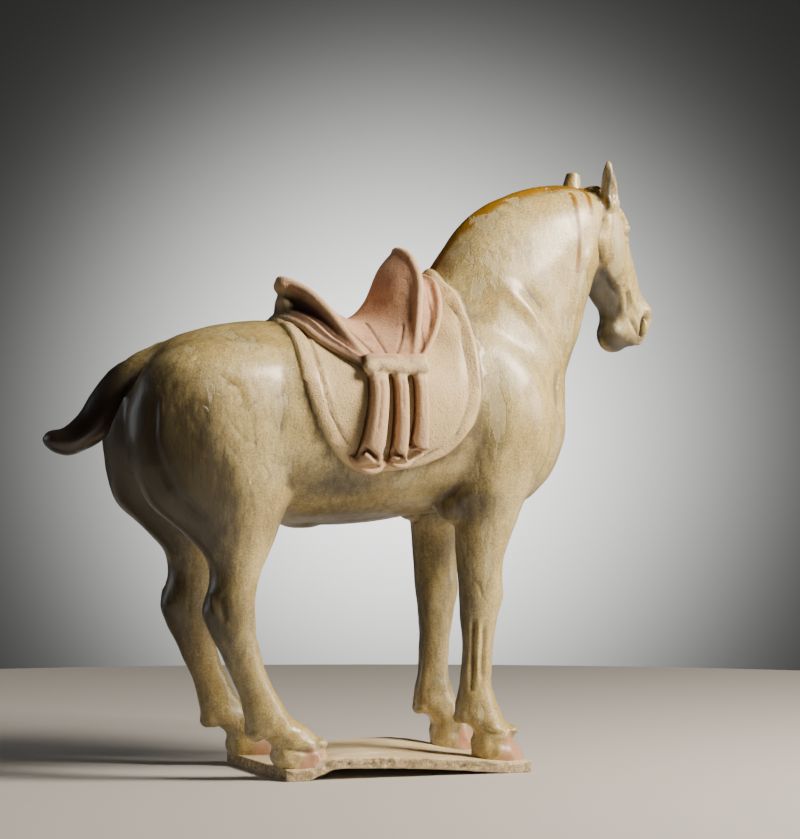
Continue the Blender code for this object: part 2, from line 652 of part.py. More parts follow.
def slab():
    """The thin base slab, arched in its middle and flat where it rests."""
    heel = HIND_HEEL * FIGURE - SLAB_BEHIND_HEELS
    toe = FORE_TOE * FIGURE - TOE_OVERHANG
    length = toe - heel
    heel_width = HIND_HOOF_SIDE * FIGURE + SLAB_BESIDE_HOOVES
    toe_width = FORE_HOOF_SIDE * FIGURE + SLAB_BESIDE_HOOVES
    form = bmesh.new()
    bmesh.ops.create_grid(form, x_segments=SLAB_COLUMNS, y_segments=SLAB_ROWS, size=1.0)
    top = bmesh.ops.extrude_face_region(form, geom=form.faces[:])["geom"]
    upper = {item for item in top if isinstance(item, bmesh.types.BMVert)}
    between = length - 2 * SLAB_PAD_LENGTH
    for vert in form.verts:
        column = round((vert.co.x + 1) / 2 * SLAB_COLUMNS)
        x = heel + SLAB_PAD_LENGTH + (column - 1) / (SLAB_COLUMNS - 2) * between
        if column in (0, SLAB_COLUMNS):
            x = heel if column == 0 else toe
        along = (x - heel) / length
        y = vert.co.y * (heel_width * (1 - along) + toe_width * along)
        crown = heel + length * (CROWN + CROWN_SKEW * vert.co.y)
        reach = (crown - heel if x < crown else toe - crown) - SLAB_PAD_LENGTH
        share = max(0.0, 1 - abs(x - crown) / reach)
        lift = SLAB_ARCH * math.sin(math.pi / 2 * share)
        vert.co = (x, y, lift + (SLAB_THICKNESS if vert in upper else 0.0))
    bmesh.ops.recalc_face_normals(form, faces=form.faces)
    return form


def boolean(target, form, operation, collection):
    """Join or cut the target with a form."""
    cutter = to_object(form, "cutter", collection)
    change = target.modifiers.new(operation, "BOOLEAN")
    change.operation = operation
    change.object = cutter
    change.solver = "EXACT"
    with_modifiers(target)
    bpy.data.objects.remove(cutter)


def thin_out(horse):
    """Fewer, larger triangles, small only where the form bends."""
    triangles = sum(len(polygon.vertices) - 2 for polygon in horse.data.polygons)
    thin = horse.modifiers.new("thin out", "DECIMATE")
    thin.ratio = TRIANGLES / triangles
    thin.use_collapse_triangulate = True
    with_modifiers(horse)


def glaze():
    """Straw-coloured glaze over buff clay."""
    material = bpy.data.materials.new("glazed_earthenware")
    material.use_nodes = True
    shader = material.node_tree.nodes["Principled BSDF"]
    shader.inputs["Base Color"].default_value = GLAZED_CLAY
    shader.inputs["Roughness"].default_value = GLAZED_CLAY_ROUGHNESS
    return material


def build():
    """The whole object, its origin under the middle of its box."""
    for item in list(bpy.data.objects):
        bpy.data.objects.remove(item)
    collection = bpy.data.collections.new("glazed_horse")
    bpy.context.scene.collection.children.link(collection)
    horse = dress(model_body(collection), collection)
    carve_details(horse)
    thin_out(horse)
    boolean(horse, slab(), "UNION", collection)
    boolean(horse, belly_hole(), "DIFFERENCE", collection)
    horse.name = "glazed_horse"
    horse.data.name = "glazed_horse"
    horse.data.materials.clear()
    horse.data.materials.append(glaze())
    places = np.array([tuple(vert.co) for vert in horse.data.vertices])
    middle = (places.min(axis=0) + places.max(axis=0)) / 2
    horse.data.transform(Matrix.Translation((-middle[0], -middle[1], -places[:, 2].min())))
    horse.data.shade_smooth()


build()
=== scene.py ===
# %% [markdown]
# # A glazed pottery horse
#
# This is a figure about 37 cm high: a standing horse under a straw-coloured lead glaze, with an
# unglazed saddle painted pink, on one thin slab. Its maker joined lumps of soft clay, smoothed
# the joins, cut the detail with a tool and glazed it last. The cells below work in that order.

# %% Blender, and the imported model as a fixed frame
import math

import bmesh
import bpy
import numpy as np
from mathutils import Matrix, Vector, noise
from mathutils.bvhtree import BVHTree


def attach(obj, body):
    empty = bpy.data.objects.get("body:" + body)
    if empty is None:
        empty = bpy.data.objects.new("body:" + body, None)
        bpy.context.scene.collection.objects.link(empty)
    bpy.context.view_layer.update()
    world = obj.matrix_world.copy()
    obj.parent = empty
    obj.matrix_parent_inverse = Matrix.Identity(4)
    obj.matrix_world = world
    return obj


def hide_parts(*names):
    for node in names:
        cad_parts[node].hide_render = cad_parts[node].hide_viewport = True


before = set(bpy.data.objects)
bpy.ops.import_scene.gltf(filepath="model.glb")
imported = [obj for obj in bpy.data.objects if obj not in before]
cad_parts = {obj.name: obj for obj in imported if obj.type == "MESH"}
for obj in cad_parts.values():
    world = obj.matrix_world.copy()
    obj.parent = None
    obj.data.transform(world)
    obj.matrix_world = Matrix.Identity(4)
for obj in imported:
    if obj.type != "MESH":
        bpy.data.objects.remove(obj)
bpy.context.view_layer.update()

# %% [markdown]
# ## The figure's own millimetres
#
# The horse was measured in millimetres from the middle of its slab: x forward, y to its left, z
# up from the slab's underside. One matrix takes such a point to the frame, so every number below
# can be read as a length on the real figure. The head is turned to the left, so it has a second
# matrix, whose x runs forward from the poll.

# %% Matrices from the figure's millimetres to the frame
MM = 0.001
SLAB_MIDDLE = (0.0116, -0.0001)
HOOF_BED = 0.001
POLL = (141.7, 10.0)
HEAD_TURN = math.radians(24)
NEAR, FAR = -1, 1

figure = Matrix.Translation((*SLAB_MIDDLE, -HOOF_BED)) @ Matrix.Scale(MM, 4)
head_place = figure @ Matrix.Translation((*POLL, 0)) @ Matrix.Rotation(HEAD_TURN, 4, "Z")
print("the poll is at", [round(c, 4) for c in head_place.translation])


def in_figure(places):
    """Places in the frame taken back to the figure's own millimetres."""
    return places / MM - np.array([*SLAB_MIDDLE, -HOOF_BED]) / MM

# %% [markdown]
# ## The camera
#
# A long lens a little behind the horse's right side gives the quiet, flat view of a catalogue
# picture. The camera is level, so the upright lines of the figure stay upright.

# %% Camera at the picture's angle
CAMERA_TURN = math.radians(-19.5)
CAMERA_PLACE = Vector((-0.6944, -1.9993, 0.21))
LENS_MM = 150.7
SENSOR_MM = 36

camera = bpy.data.objects.new("camera", bpy.data.cameras.new("camera"))
camera.data.sensor_width = SENSOR_MM
camera.data.lens = LENS_MM
camera.location = CAMERA_PLACE + Vector((*SLAB_MIDDLE, 0))
camera.rotation_euler = (math.pi / 2, 0, CAMERA_TURN)
bpy.context.scene.collection.objects.link(camera)
bpy.context.scene.camera = camera
print("camera stands", round(camera.location.length, 2), "m away")

# %% [markdown]
# ## Forms of clay
#
# A leg, a neck or a barrel is easiest to describe as a few sections along its length, each with
# its two ends in the side view and a half width. A smooth curve through those rows gives the
# sections between them, and one ring of edges extruded from section to section gives the form.

# %% Smooth rows between the given ones
NO_GAP = 1e-9   # so that nothing is divided by a gap of nothing


def smooth_rows(rows, steps):
    """Rows of numbers on a cubic curve through the given rows."""
    rows = np.array(rows, dtype=float)
    gaps = np.linalg.norm(np.diff(rows[:, :4], axis=0), axis=1) + NO_GAP
    slopes = np.diff(rows, axis=0) / gaps[:, None]
    share = (gaps[:-1] / (gaps[:-1] + gaps[1:]))[:, None]
    middle = slopes[:-1] * (1 - share) + slopes[1:] * share
    tangents = np.vstack([slopes[:1], middle, slopes[-1:]])
    result = []
    for i, gap in enumerate(gaps):
        for t in np.linspace(0, 1, steps, endpoint=False):
            start = (2*t**3 - 3*t**2 + 1) * rows[i] + (t**3 - 2*t**2 + t) * gap * tangents[i]
            end = (3*t**2 - 2*t**3) * rows[i+1] + (t**3 - t**2) * gap * tangents[i+1]
            result.append(start + end)
    result.append(rows[-1])
    return result


def smooth_line(points, steps=5):
    """Points on a rounded line through the given ones."""
    rows = [tuple(point) + (0,) * (4 - len(point)) for point in points]
    return [tuple(row[:len(points[0])]) for row in smooth_rows(rows, steps)]


# %% One section, and the loft through all of them
def section(row, around):
    """Points round one section. The row holds end A (x, z), end B (x, z), the half width, the
    centre's y, the share from A to B where it is widest, and its squareness (2 is an ellipse)."""
    ax, az, bx, bz, half_width, centre_y, widest, squareness = row
    power = 2.0 / squareness
    points = []
    for k in range(around):
        angle = 2 * math.pi * k / around
        along = math.copysign(abs(math.cos(angle)) ** power, math.cos(angle))
        across = math.copysign(abs(math.sin(angle)) ** power, math.sin(angle))
        reach = widest * (along - 1) if along > 0 else (1 - widest) * along - widest
        points.append((ax + (ax - bx) * reach, centre_y + half_width * across,
                       az + (az - bz) * reach))
    return points


def loft(rows, place=figure, steps=5, around=36):
    """A closed form: one ring of edges extruded from section to section, its ends filled."""
    sections = [section(row, around) for row in smooth_rows(rows, steps)]
    form = bmesh.new()
    bmesh.ops.create_circle(form, cap_ends=False, radius=1.0, segments=around)
    ring, edges, ends = list(form.verts), list(form.edges), list(form.edges)
    for vert, point in zip(ring, sections[0]):
        vert.co = point
    for points in sections[1:]:
        made = bmesh.ops.extrude_edge_only(form, edges=edges)["geom"]
        fresh = {item for item in made if isinstance(item, bmesh.types.BMVert)}
        ring = [next(edge.other_vert(vert) for edge in vert.link_edges
                     if edge.other_vert(vert) in fresh) for vert in ring]
        edges = [item for item in made if isinstance(item, bmesh.types.BMEdge)
                 and item.verts[0] in fresh and item.verts[1] in fresh]
        for vert, point in zip(ring, points):
            vert.co = point
    bmesh.ops.holes_fill(form, edges=ends + edges)
    bmesh.ops.recalc_face_normals(form, faces=form.faces)
    bmesh.ops.transform(form, matrix=place, verts=form.verts)
    return form


# %% A ball and a roll of clay
def ball(centre, radii, place=figure, turn=0.0):
    """An ellipsoid, turned about its own upright axis by an angle in degrees."""
    form = bmesh.new()
    bmesh.ops.create_uvsphere(form, u_segments=32, v_segments=20, radius=1.0)
    matrix = (place @ Matrix.Translation(centre) @ Matrix.Rotation(math.radians(turn), 4, "Z")
              @ Matrix.Diagonal((*radii, 1.0)))
    bmesh.ops.transform(form, matrix=matrix, verts=form.verts)
    return form


def roll(points, radii, around=16):
    """A round roll along places in the frame, with round ends."""
    form = bmesh.new()
    points = [Vector(point) for point in points]
    edges, ends = [], []
    for i, (point, radius) in enumerate(zip(points, radii)):
        step = points[min(i + 1, len(points) - 1)] - points[max(i - 1, 0)]
        matrix = Matrix.Translation(point) @ step.to_track_quat("Z", "Y").to_matrix().to_4x4()
        before = set(form.edges)
        bmesh.ops.create_circle(form, cap_ends=False, radius=radius, segments=around,
                                matrix=matrix)
        after = [edge for edge in form.edges if edge not in before]
        if edges:
            bmesh.ops.bridge_loops(form, edges=edges + after)
        else:
            ends = list(after)
        edges = after
    bmesh.ops.holes_fill(form, edges=ends + edges)
    for i in (0, -1):
        matrix = Matrix.Translation(points[i]) @ Matrix.Scale(radii[i], 4)
        bmesh.ops.create_uvsphere(form, u_segments=around, v_segments=8, radius=1.0,
                                  matrix=matrix)
    bmesh.ops.recalc_face_normals(form, faces=form.faces)
    return form


# %% [markdown]
# ## From lumps to one skin
#
# Separate meshes that only run into each other would show a hard line at every join. Blender's
# voxel Remesh wraps them in a single closed skin instead, as a wet thumb does with clay, and a
# Smooth modifier softens the places where the joins were.

# %% Objects, applied modifiers and the fused skin
def to_object(form, name):
    """A bmesh made a mesh object."""
    mesh = bpy.data.meshes.new(name)
    form.to_mesh(mesh)
    form.free()
    made = bpy.data.objects.new(name, mesh)
    bpy.context.scene.collection.objects.link(made)
    return made


def apply_modifiers(target):
    """Swap an object's mesh for the one that its modifiers make."""
    graph = bpy.context.evaluated_depsgraph_get()
    mesh = bpy.data.meshes.new_from_object(target.evaluated_get(graph))
    old = target.data
    target.modifiers.clear()
    target.data = mesh
    bpy.data.meshes.remove(old)
    return target


def to_form(target):
    """An object taken back to a bmesh, so that it can be fused again."""
    form = bmesh.new()
    form.from_mesh(target.data)
    bpy.data.objects.remove(target)
    return form


def fuse(forms, name, voxel):
    """One skin round all the forms, with quads about one voxel wide."""
    joined = bmesh.new()
    for form in forms:
        piece = bpy.data.meshes.new("form")
        form.to_mesh(piece)
        form.free()
        joined.from_mesh(piece)
        bpy.data.meshes.remove(piece)
    target = to_object(joined, name)
    remesh = target.modifiers.new("one skin", "REMESH")
    remesh.mode = "VOXEL"
    remesh.voxel_size = voxel * MM
    remesh.use_smooth_shade = True
    return apply_modifiers(target)


# %% Softening
WEIGHT_STEPS = 10   # steps of weight in a softened zone
ZONE_FADE = 1.6     # how steeply a zone fades out at its rim


def places_of(target):
    """All vertex places of an object as an array."""
    places = np.empty(len(target.data.vertices) * 3)
    target.data.vertices.foreach_get("co", places)
    return places.reshape(-1, 3)


def soften(target, passes, zones=None, factor=0.5):
    """Smooth the whole skin, or only near zones of (figure point, radius in millimetres)."""
    smooth = target.modifiers.new("soften", "SMOOTH")
    smooth.factor = factor
    smooth.iterations = passes
    if zones:
        group = target.vertex_groups.new(name="soften")
        places = places_of(target)
        weights = np.zeros(len(places))
        for centre, radius in zones:
            gap = np.linalg.norm(places - np.array(figure @ Vector(centre)), axis=1)
            inner = ZONE_FADE - ZONE_FADE * gap / (radius * MM)
            weights = np.maximum(weights, np.clip(inner, 0, 1))
        for step in range(1, WEIGHT_STEPS + 1):
            chosen = np.nonzero(np.ceil(weights * WEIGHT_STEPS) == step)[0]
            group.add(chosen.tolist(), step / WEIGHT_STEPS, "REPLACE")
        smooth.vertex_group = group.name
    return apply_modifiers(target)


# %% [markdown]
# ## Carving
#
# A modeller's tool follows the surface, and so does this one: a line given in figure points is
# dropped onto the skin, and each vertex near it moves along its own normal, in for a groove and
# out for a ridge. Grooves and mounds fade out softly, because the clay was wet when they were made.

# %% The skin as something to carve
OUTSIDE_Y = 200   # where a ray to the flank starts, in figure millimetres
FAR_AWAY = 1e9    # further than any vertex is
NO_RUN = 1e-12    # so that nothing is divided by a run of nothing
REACH = 3         # the widths from its line that a stroke is worked out to
FADE_SHARE, FADE_WIDTHS = 0.2, 4   # the ends of a stroke that fade: share of it, or widths


class Clay:
    """The skin of one object, pushed in and out along its normals."""

    def __init__(self, target):
        self.mesh = target.data
        self.places = places_of(target)
        self.settle()

    def settle(self):
        """Write the moved places back, and read the new surface."""
        self.mesh.vertices.foreach_set("co", self.places.ravel())
        self.mesh.update()
        self.normals = np.empty(self.places.size)
        self.mesh.vertices.foreach_get("normal", self.normals)
        self.normals = self.normals.reshape(-1, 3)
        faces = [tuple(polygon.vertices) for polygon in self.mesh.polygons]
        self.tree = BVHTree.FromPolygons(self.places.tolist(), faces)

    def onto(self, points, place):
        """Figure points moved to the nearest place on the skin."""
        return np.array([self.tree.find_nearest(place @ Vector(point))[0] for point in points])

    def flank(self, x, z, side, lift=0.0):
        """The place on the flank at a figure x and z, seen from that side."""
        start = figure @ Vector((x, side * OUTSIDE_Y, z))
        hit = self.tree.ray_cast(start, Vector((0, -side, 0)))
        return hit[0] + hit[1] * lift * MM

    def gap_to(self, trace, reach):
        """The vertices within reach of a line of places, and their distances to it."""
        inside = np.all((self.places > trace.min(axis=0) - reach)
                        & (self.places < trace.max(axis=0) + reach), axis=1)
        chosen = np.nonzero(inside)[0]
        near = self.places[chosen]
        nearest = np.full(len(chosen), FAR_AWAY)
        for start, end in zip(trace[:-1], trace[1:]):
            run = end - start
            share = np.clip((near - start) @ run / max(run @ run, NO_RUN), 0, 1)
            gap = np.linalg.norm(near - start - share[:, None] * run, axis=1)
            nearest = np.minimum(nearest, gap)
        return chosen, nearest

    def line(self, points, width, height, place=figure):
        """A ridge along a line, or a groove where height is below nothing. Its ends fade out."""
        trace = self.onto(smooth_line(points), place)
        chosen, gap = self.gap_to(trace, REACH * width * MM)
        length = np.linalg.norm(np.diff(trace, axis=0), axis=1).sum()
        fade = min(FADE_SHARE * length, FADE_WIDTHS * width * MM)
        near = self.places[chosen]
        to_end = np.minimum(np.linalg.norm(near - trace[0], axis=1),
                            np.linalg.norm(near - trace[-1], axis=1))
        amount = height * MM * np.exp(-(gap / (width * MM)) ** 2) * np.clip(to_end / fade, 0, 1)
        self.places[chosen] += self.normals[chosen] * amount[:, None]

    def mound(self, centre, radii, height, place=figure):
        """A soft mound, or a hollow where height is below nothing."""
        inverse = np.array(place.inverted())
        local = self.places @ inverse[:3, :3].T + inverse[:3, 3]
        gap = np.linalg.norm((local - np.array(centre)) / np.array(radii), axis=1)
        chosen = np.nonzero(gap < REACH)[0]
        amount = height * MM * np.exp(-gap[chosen] ** 2)
        self.places[chosen] += self.normals[chosen] * amount[:, None]

    def knead(self, size, height, share=1.0):
        """Uneven hand marks of a size in millimetres, pressed in and out by up to height."""
        marks = np.array([noise.noise(Vector(place) / (size * MM)) for place in self.places])
        self.places += self.normals * (marks * height * MM * share)[:, None]


# %% [markdown]
# ## The horse's lumps
#
# The trunk runs from the rump to the chest, the arched neck grows out of it, and each leg starts
# as a broad slab of muscle on the flank and narrows to the hoof. Each row reads: end A (x, z),
# end B (x, z), half width, centre y, widest share, squareness.

# %% Trunk and neck
TRUNK = [
    (-156, 226, -154, 196, 8, 0, 0.5, 2.0),
    (-151, 240, -148, 180, 26, 0, 0.5, 2.1),
    (-138, 254, -134, 168, 44, 0, 0.5, 2.2),
    (-112, 265, -108, 156, 57, 0, 0.5, 2.2),
    (-80, 270, -78, 150, 62, 0, 0.5, 2.2),
    (-50, 268, -50, 148, 63, 0, 0.5, 2.2),
    (-20, 264, -20, 148, 64, 0, 0.5, 2.2),
    (12, 266, 12, 152.5, 63, 0, 0.5, 2.2),
    (40, 276, 42, 155, 60, 0, 0.55, 2.2),
    (66, 278, 72, 156, 55, 0, 0.58, 2.2),
    (87, 270, 92, 162, 47, 0, 0.56, 2.2),
    (101, 256, 105, 176, 35, 0, 0.52, 2.1),
    (109.5, 240, 112.5, 196, 20, 0, 0.5, 2.0),
    (113, 228, 114, 212, 7, 0, 0.5, 2.0),
]
NECK = [
    (-4, 262, 82, 168, 44, 0, 0.6, 2.0),
    (18, 284, 104, 184, 49, 0, 0.62, 2.0),
    (32, 300, 113.5, 206, 45, 0, 0.62, 2.0),
    (42, 314, 116, 229, 39.5, 0, 0.6, 2.05),
    (54, 328, 122.5, 249, 34.5, 0.5, 0.58, 2.05),
    (68, 339, 130, 268, 30.5, 1.5, 0.56, 2.05),
    (86, 347, 135, 284, 28, 3, 0.54, 2.05),
    (106, 352, 140, 297, 26, 5.5, 0.52, 2.05),
    (125, 354, 147, 308, 23.5, 8, 0.5, 2.05),
    (141, 352, 152, 322, 18, 10, 0.5, 2.0),
]


# %% The hind and fore leg of one side
def haunch(side):
    """The hind leg from hip to hoof. A is in front, B behind."""
    return loft([
        (-66, 254, -128, 258, 18, 30 * side, 0.5, 2.0),
        (-60, 238, -152, 244, 27, 33 * side, 0.5, 2.2),
        (-58, 218, -164, 222, 31.5, 34 * side, 0.5, 2.2),
        (-59, 198, -166.5, 200, 32, 34.5 * side, 0.5, 2.2),
        (-64, 180, -163, 182, 29.5, 36.5 * side, 0.5, 2.2),
        (-71.5, 162, -152.5, 161, 25, 39.5 * side, 0.48, 2.1),
        (-77.5, 146, -134, 145, 20.5, 42 * side, 0.45, 2.1),
        (-85, 130, -121, 131, 16.5, 43.5 * side, 0.45, 2.1),
        (-91.5, 114, -119, 115, 13.5, 44.5 * side, 0.45, 2.1),
        (-93.3, 101, -124, 99.5, 12.5, 45 * side, 0.4, 2.2),
        (-92, 88, -120, 88.5, 12, 45.5 * side, 0.42, 2.2),
        (-88.5, 72, -111.5, 72, 10.4, 46 * side, 0.45, 2.1),
        (-84.3, 60, -105.5, 59.5, 9.6, 46.5 * side, 0.45, 2.1),
        (-78.5, 49, -101, 48, 9.8, 46.8 * side, 0.45, 2.1),
        (-71.5, 38.5, -98.5, 36, 10.8, 46.8 * side, 0.45, 2.1),
        (-65, 33, -97, 26.5, 11.4, 46.5 * side, 0.45, 2.1),
        (-59.5, 29.8, -86, 25, 11.8, 46.2 * side, 0.45, 2.1),
        (-53, 23, -82.5, 20, 12.4, 46 * side, 0.5, 2.3),
        (-47.5, 13, -82, 12, 13.4, 45.5 * side, 0.5, 2.4),
        (-44.5, 5, -77, 5, 14, 45.5 * side, 0.5, 2.4),
    ])


def fore_leg(side):
    """The shoulder and fore leg down to the hoof. A is in front, B behind."""
    return loft([
        (60, 278, 30, 278, 6, 20 * side, 0.5, 2.0),
        (76, 264, 16, 264, 15, 28 * side, 0.5, 2.0),
        (92, 240, 14, 240, 22, 33 * side, 0.5, 2.1),
        (97, 215, 15, 216, 25.5, 34 * side, 0.5, 2.1),
        (94, 192, 21, 194, 24.5, 35.5 * side, 0.5, 2.1),
        (86, 175, 29, 177, 21.5, 37.5 * side, 0.5, 2.1),
        (76.8, 160, 34, 161, 18, 38.5 * side, 0.48, 2.1),
        (70.3, 144, 34.9, 145, 15, 39 * side, 0.45, 2.1),
        (65, 130, 35.8, 130, 13, 39 * side, 0.45, 2.1),
        (63.6, 114, 37.2, 114, 12, 38.5 * side, 0.45, 2.2),
        (63.6, 106, 38, 105, 12, 38 * side, 0.45, 2.3),
        (61.2, 94, 38.8, 94, 10.6, 37.5 * side, 0.45, 2.2),
        (59.2, 80, 40.1, 80, 9.2, 37 * side, 0.45, 2.1),
        (58, 66, 39.6, 66, 8.8, 37 * side, 0.45, 2.1),
        (57.8, 53, 38, 52, 9.3, 37 * side, 0.45, 2.1),
        (60.6, 42, 36, 41, 10.4, 37 * side, 0.45, 2.1),
        (64.2, 34.5, 36.2, 33, 11.2, 37 * side, 0.45, 2.1),
        (67.6, 29.5, 44.5, 28.4, 11.8, 37 * side, 0.5, 2.1),
        (71.2, 25.2, 47.5, 24.6, 12.6, 37 * side, 0.5, 2.2),
        (72, 20, 46.8, 20, 12.8, 37 * side, 0.5, 2.2),
        (76, 12, 46.8, 12, 14.2, 37 * side, 0.5, 2.4),
        (79, 5, 46.8, 5, 15, 37 * side, 0.5, 2.4),
    ])


# %% The head, its ears and the tail
SKULL = [
    (2, 357, -9, 345, 12, 0, 0.5, 2.1),
    (6, 350, -8, 334, 17, 0, 0.5, 2.2),
    (14, 341, -9, 322, 19, 0, 0.45, 2.3),
    (22, 331, -9.5, 312, 19.2, 0, 0.5, 2.4),
    (26.5, 321, -8, 302, 18.4, 0, 0.54, 2.3),
    (31, 311, -6, 295, 16.8, 0, 0.5, 2.2),
    (36, 301, -2, 289, 14.8, 0, 0.42, 2.1),
    (41, 291, 3, 283, 13, 0, 0.36, 2.1),
    (46.2, 281.5, 10.5, 276.5, 12.4, 0, 0.36, 2.2),
    (47.5, 272, 14, 269.5, 12.8, 0, 0.38, 2.3),
    (46, 264.5, 15, 262.5, 12, 0, 0.42, 2.3),
    (42, 257.5, 20, 256.5, 9, 0, 0.45, 2.1),
]
EAR = [
    (7.5, 332, -6, 332, 3, -12.5, 0.5, 2.0),
    (8.4, 341, -6.4, 340.5, 4.8, -14, 0.5, 2.0),
    (7.2, 350, -5.2, 350, 5.2, -15, 0.5, 2.0),
    (5.4, 359, -3.4, 358, 4.6, -15.4, 0.5, 2.0),
    (3.4, 366.5, -2.2, 365.5, 3.2, -15.4, 0.5, 2.0),
    (1.4, 370.4, -0.8, 370.2, 1.4, -15.3, 0.5, 2.0),
]
EAR_STUB = [
    (6, 332, -8, 332, 3.5, 12, 0.5, 2.0),
    (7.5, 342, -8.5, 342, 6, 14, 0.5, 2.0),
    (6.2, 352, -7.4, 351, 6.2, 15, 0.5, 2.0),
    (4.6, 363.4, -2.4, 364.6, 4.4, 15.3, 0.5, 2.6),
]
TAIL = [
    (-126, 259, -136, 232, 10, 0, 0.5, 2.0),
    (-142, 252, -150, 229, 11, 0, 0.5, 2.0),
    (-155, 247.5, -159, 224, 12, 0, 0.5, 2.0),
    (-166, 241, -164.5, 211, 12.5, 0, 0.5, 2.0),
    (-176.5, 228.5, -170.5, 200, 12.8, 0, 0.5, 2.0),
    (-187, 213, -181.5, 193, 12, 0, 0.5, 2.0),
    (-196.5, 205.6, -193.5, 189.8, 11, 0, 0.5, 2.0),
    (-203.8, 204.2, -202, 192.3, 8.5, 0, 0.5, 2.0),
    (-207.4, 200.4, -206.6, 196, 3, 0, 0.5, 2.0),
]

# %% Everything joined, and the joins softened
forms = [loft(TRUNK), loft(NECK), loft(TAIL), loft(SKULL, head_place),
         ball((20.5, 0, 263.8), (10.8, 10.4, 10.8), head_place)]
joins = [((-110, 0, 180), 50), ((60, 0, 160), 45), ((100, 0, 240), 45), ((130, 5, 320), 26),
         ((0, 0, 270), 40), ((-150, 0, 240), 22), ((160, 19, 268), 17)]
for side in (NEAR, FAR):
    forms += [haunch(side), fore_leg(side), ball((33, 36 * side, 159), (9, 12, 10))]
    joins += [((-70, side * 45, 190), 60), ((-120, side * 40, 235), 60),
              ((60, side * 40, 200), 62), ((60, side * 30, 260), 60)]
ROUGH_VOXEL, FINE_VOXEL, SADDLE_VOXEL = 1.7, 1.0, 0.9
horse = fuse(forms, "horse", ROUGH_VOXEL)
soften(horse, 26, joins)
soften(horse, 2)
print("rough horse:", len(horse.data.polygons), "faces")

# %% [markdown]
# ## Muscles
#
# The big shapes under the skin are a shoulder edged by a ridge, a full breast, a rounded haunch
# with one long groove, and a soft fold where the flank meets the thigh. They are carved on the
# coarse skin, because a broad stroke there stays broad.

# %% Muscles of both sides
def mirrored(points, side):
    """The same points on one side of the horse."""
    return [(x, side * y, z) for x, y, z in points]


SHOULDER_RIDGE = [(58, 26, 297), (70, 31, 288), (81, 33, 277), (91, 34, 263), (100, 30, 247),
                  (106, 22, 233)]
SHOULDER_GROOVE = [(74, 30, 294), (87, 32, 281), (97, 33, 265), (106, 27, 249), (111, 18, 236)]
BREAST_GROOVE = [(96, 34, 243), (97, 36, 226), (96, 37, 206), (90, 40, 189), (76, 44, 177)]
HAUNCH_GROOVE = [(-152.9, 52.9, 226.3), (-154.9, 54.8, 213), (-154.3, 54.6, 197.7),
                 (-151.4, 56.4, 186.4), (-147.5, 56.6, 177.8), (-140.9, 57.5, 168.2),
                 (-133.3, 58.7, 159.6), (-124.7, 59.8, 151)]
FLANK_FOLD = [(-72, 50, 166), (-76, 56, 178), (-84, 60, 190)]
JUGULAR = [(139, 20, 322), (133, 23, 313), (127, 25, 303), (122, 26, 290), (117, 26, 274),
           (113, 27, 256), (110, 24, 240)]
BUTTOCK_CREASE = [(-160, 0, 222), (-160, 0, 205), (-154, 0, 184), (-144, 0, 166), (-130, 0, 152)]

HAUNCH_RIDGE = [(x + 4, y, z + 2) for x, y, z in HAUNCH_GROOVE]
MUSCLE_LINES = [
    # line, width, height
    (SHOULDER_RIDGE, 5.0, 1.9), (SHOULDER_GROOVE, 4.0, -1.8), (BREAST_GROOVE, 3.4, -1.9),
    (HAUNCH_GROOVE, 2.6, -2.0), (HAUNCH_RIDGE, 3.0, 1.0), (FLANK_FOLD, 6, -1.2),
    (JUGULAR, 4.0, 2.4),
]
MUSCLE_MOUNDS = [
    # centre, radii, height
    ((74, 52, 215), (22, 26, 34), 3.0), ((104, 26, 208), (18, 18, 26), 2.4),
    ((54, 50, 172), (12, 16, 10), 2.0), ((-76, 52, 163), (7, 12, 7), 1.6),
]

clay = Clay(horse)
for side in (NEAR, FAR):
    for line, width, height in MUSCLE_LINES:
        clay.line(mirrored(line, side), width, height)
    for centre, radii, height in MUSCLE_MOUNDS:
        clay.mound(*mirrored([centre], side), radii, height)
clay.line(BUTTOCK_CREASE, 3.6, -8.0)
clay.mound((-163, 40, 196), (16, 26, 28), -4.5)
clay.settle()
print("muscles carved")

# %% [markdown]
# ## The fine skin
#
# Ears, coronets and fetlock tufts are small against the trunk, so they join the horse only now,
# when it is wrapped again with quads of about a millimetre. The hollow of the ear is a Boolean
# cut, made while the ear is still a form of its own.

# %% The cupped ear and the broken one
def hollow(form, cutter):
    """Cut one form out of another."""
    target, tool = to_object(form, "ear"), to_object(cutter, "hollow")
    cut = target.modifiers.new("hollow", "BOOLEAN")
    cut.operation = "DIFFERENCE"
    cut.object = tool
    apply_modifiers(target)
    bpy.data.objects.remove(tool)
    return to_form(target)


EAR_HOLLOW = [
    (3.0, 344.5, -0.5, 344.5, 1.4, -19.8, 0.5, 2.0),
    (4.2, 348, -1.6, 348, 2.4, -20.4, 0.5, 2.0),
    (4.0, 352.5, -1.2, 352.5, 2.4, -20.4, 0.5, 2.0),
    (2.6, 357, 0.2, 357, 1.4, -20, 0.5, 2.0),
]
right_ear = hollow(loft(EAR, head_place, around=24), loft(EAR_HOLLOW, head_place, around=20))
left_stub = loft(EAR_STUB, head_place, around=24)

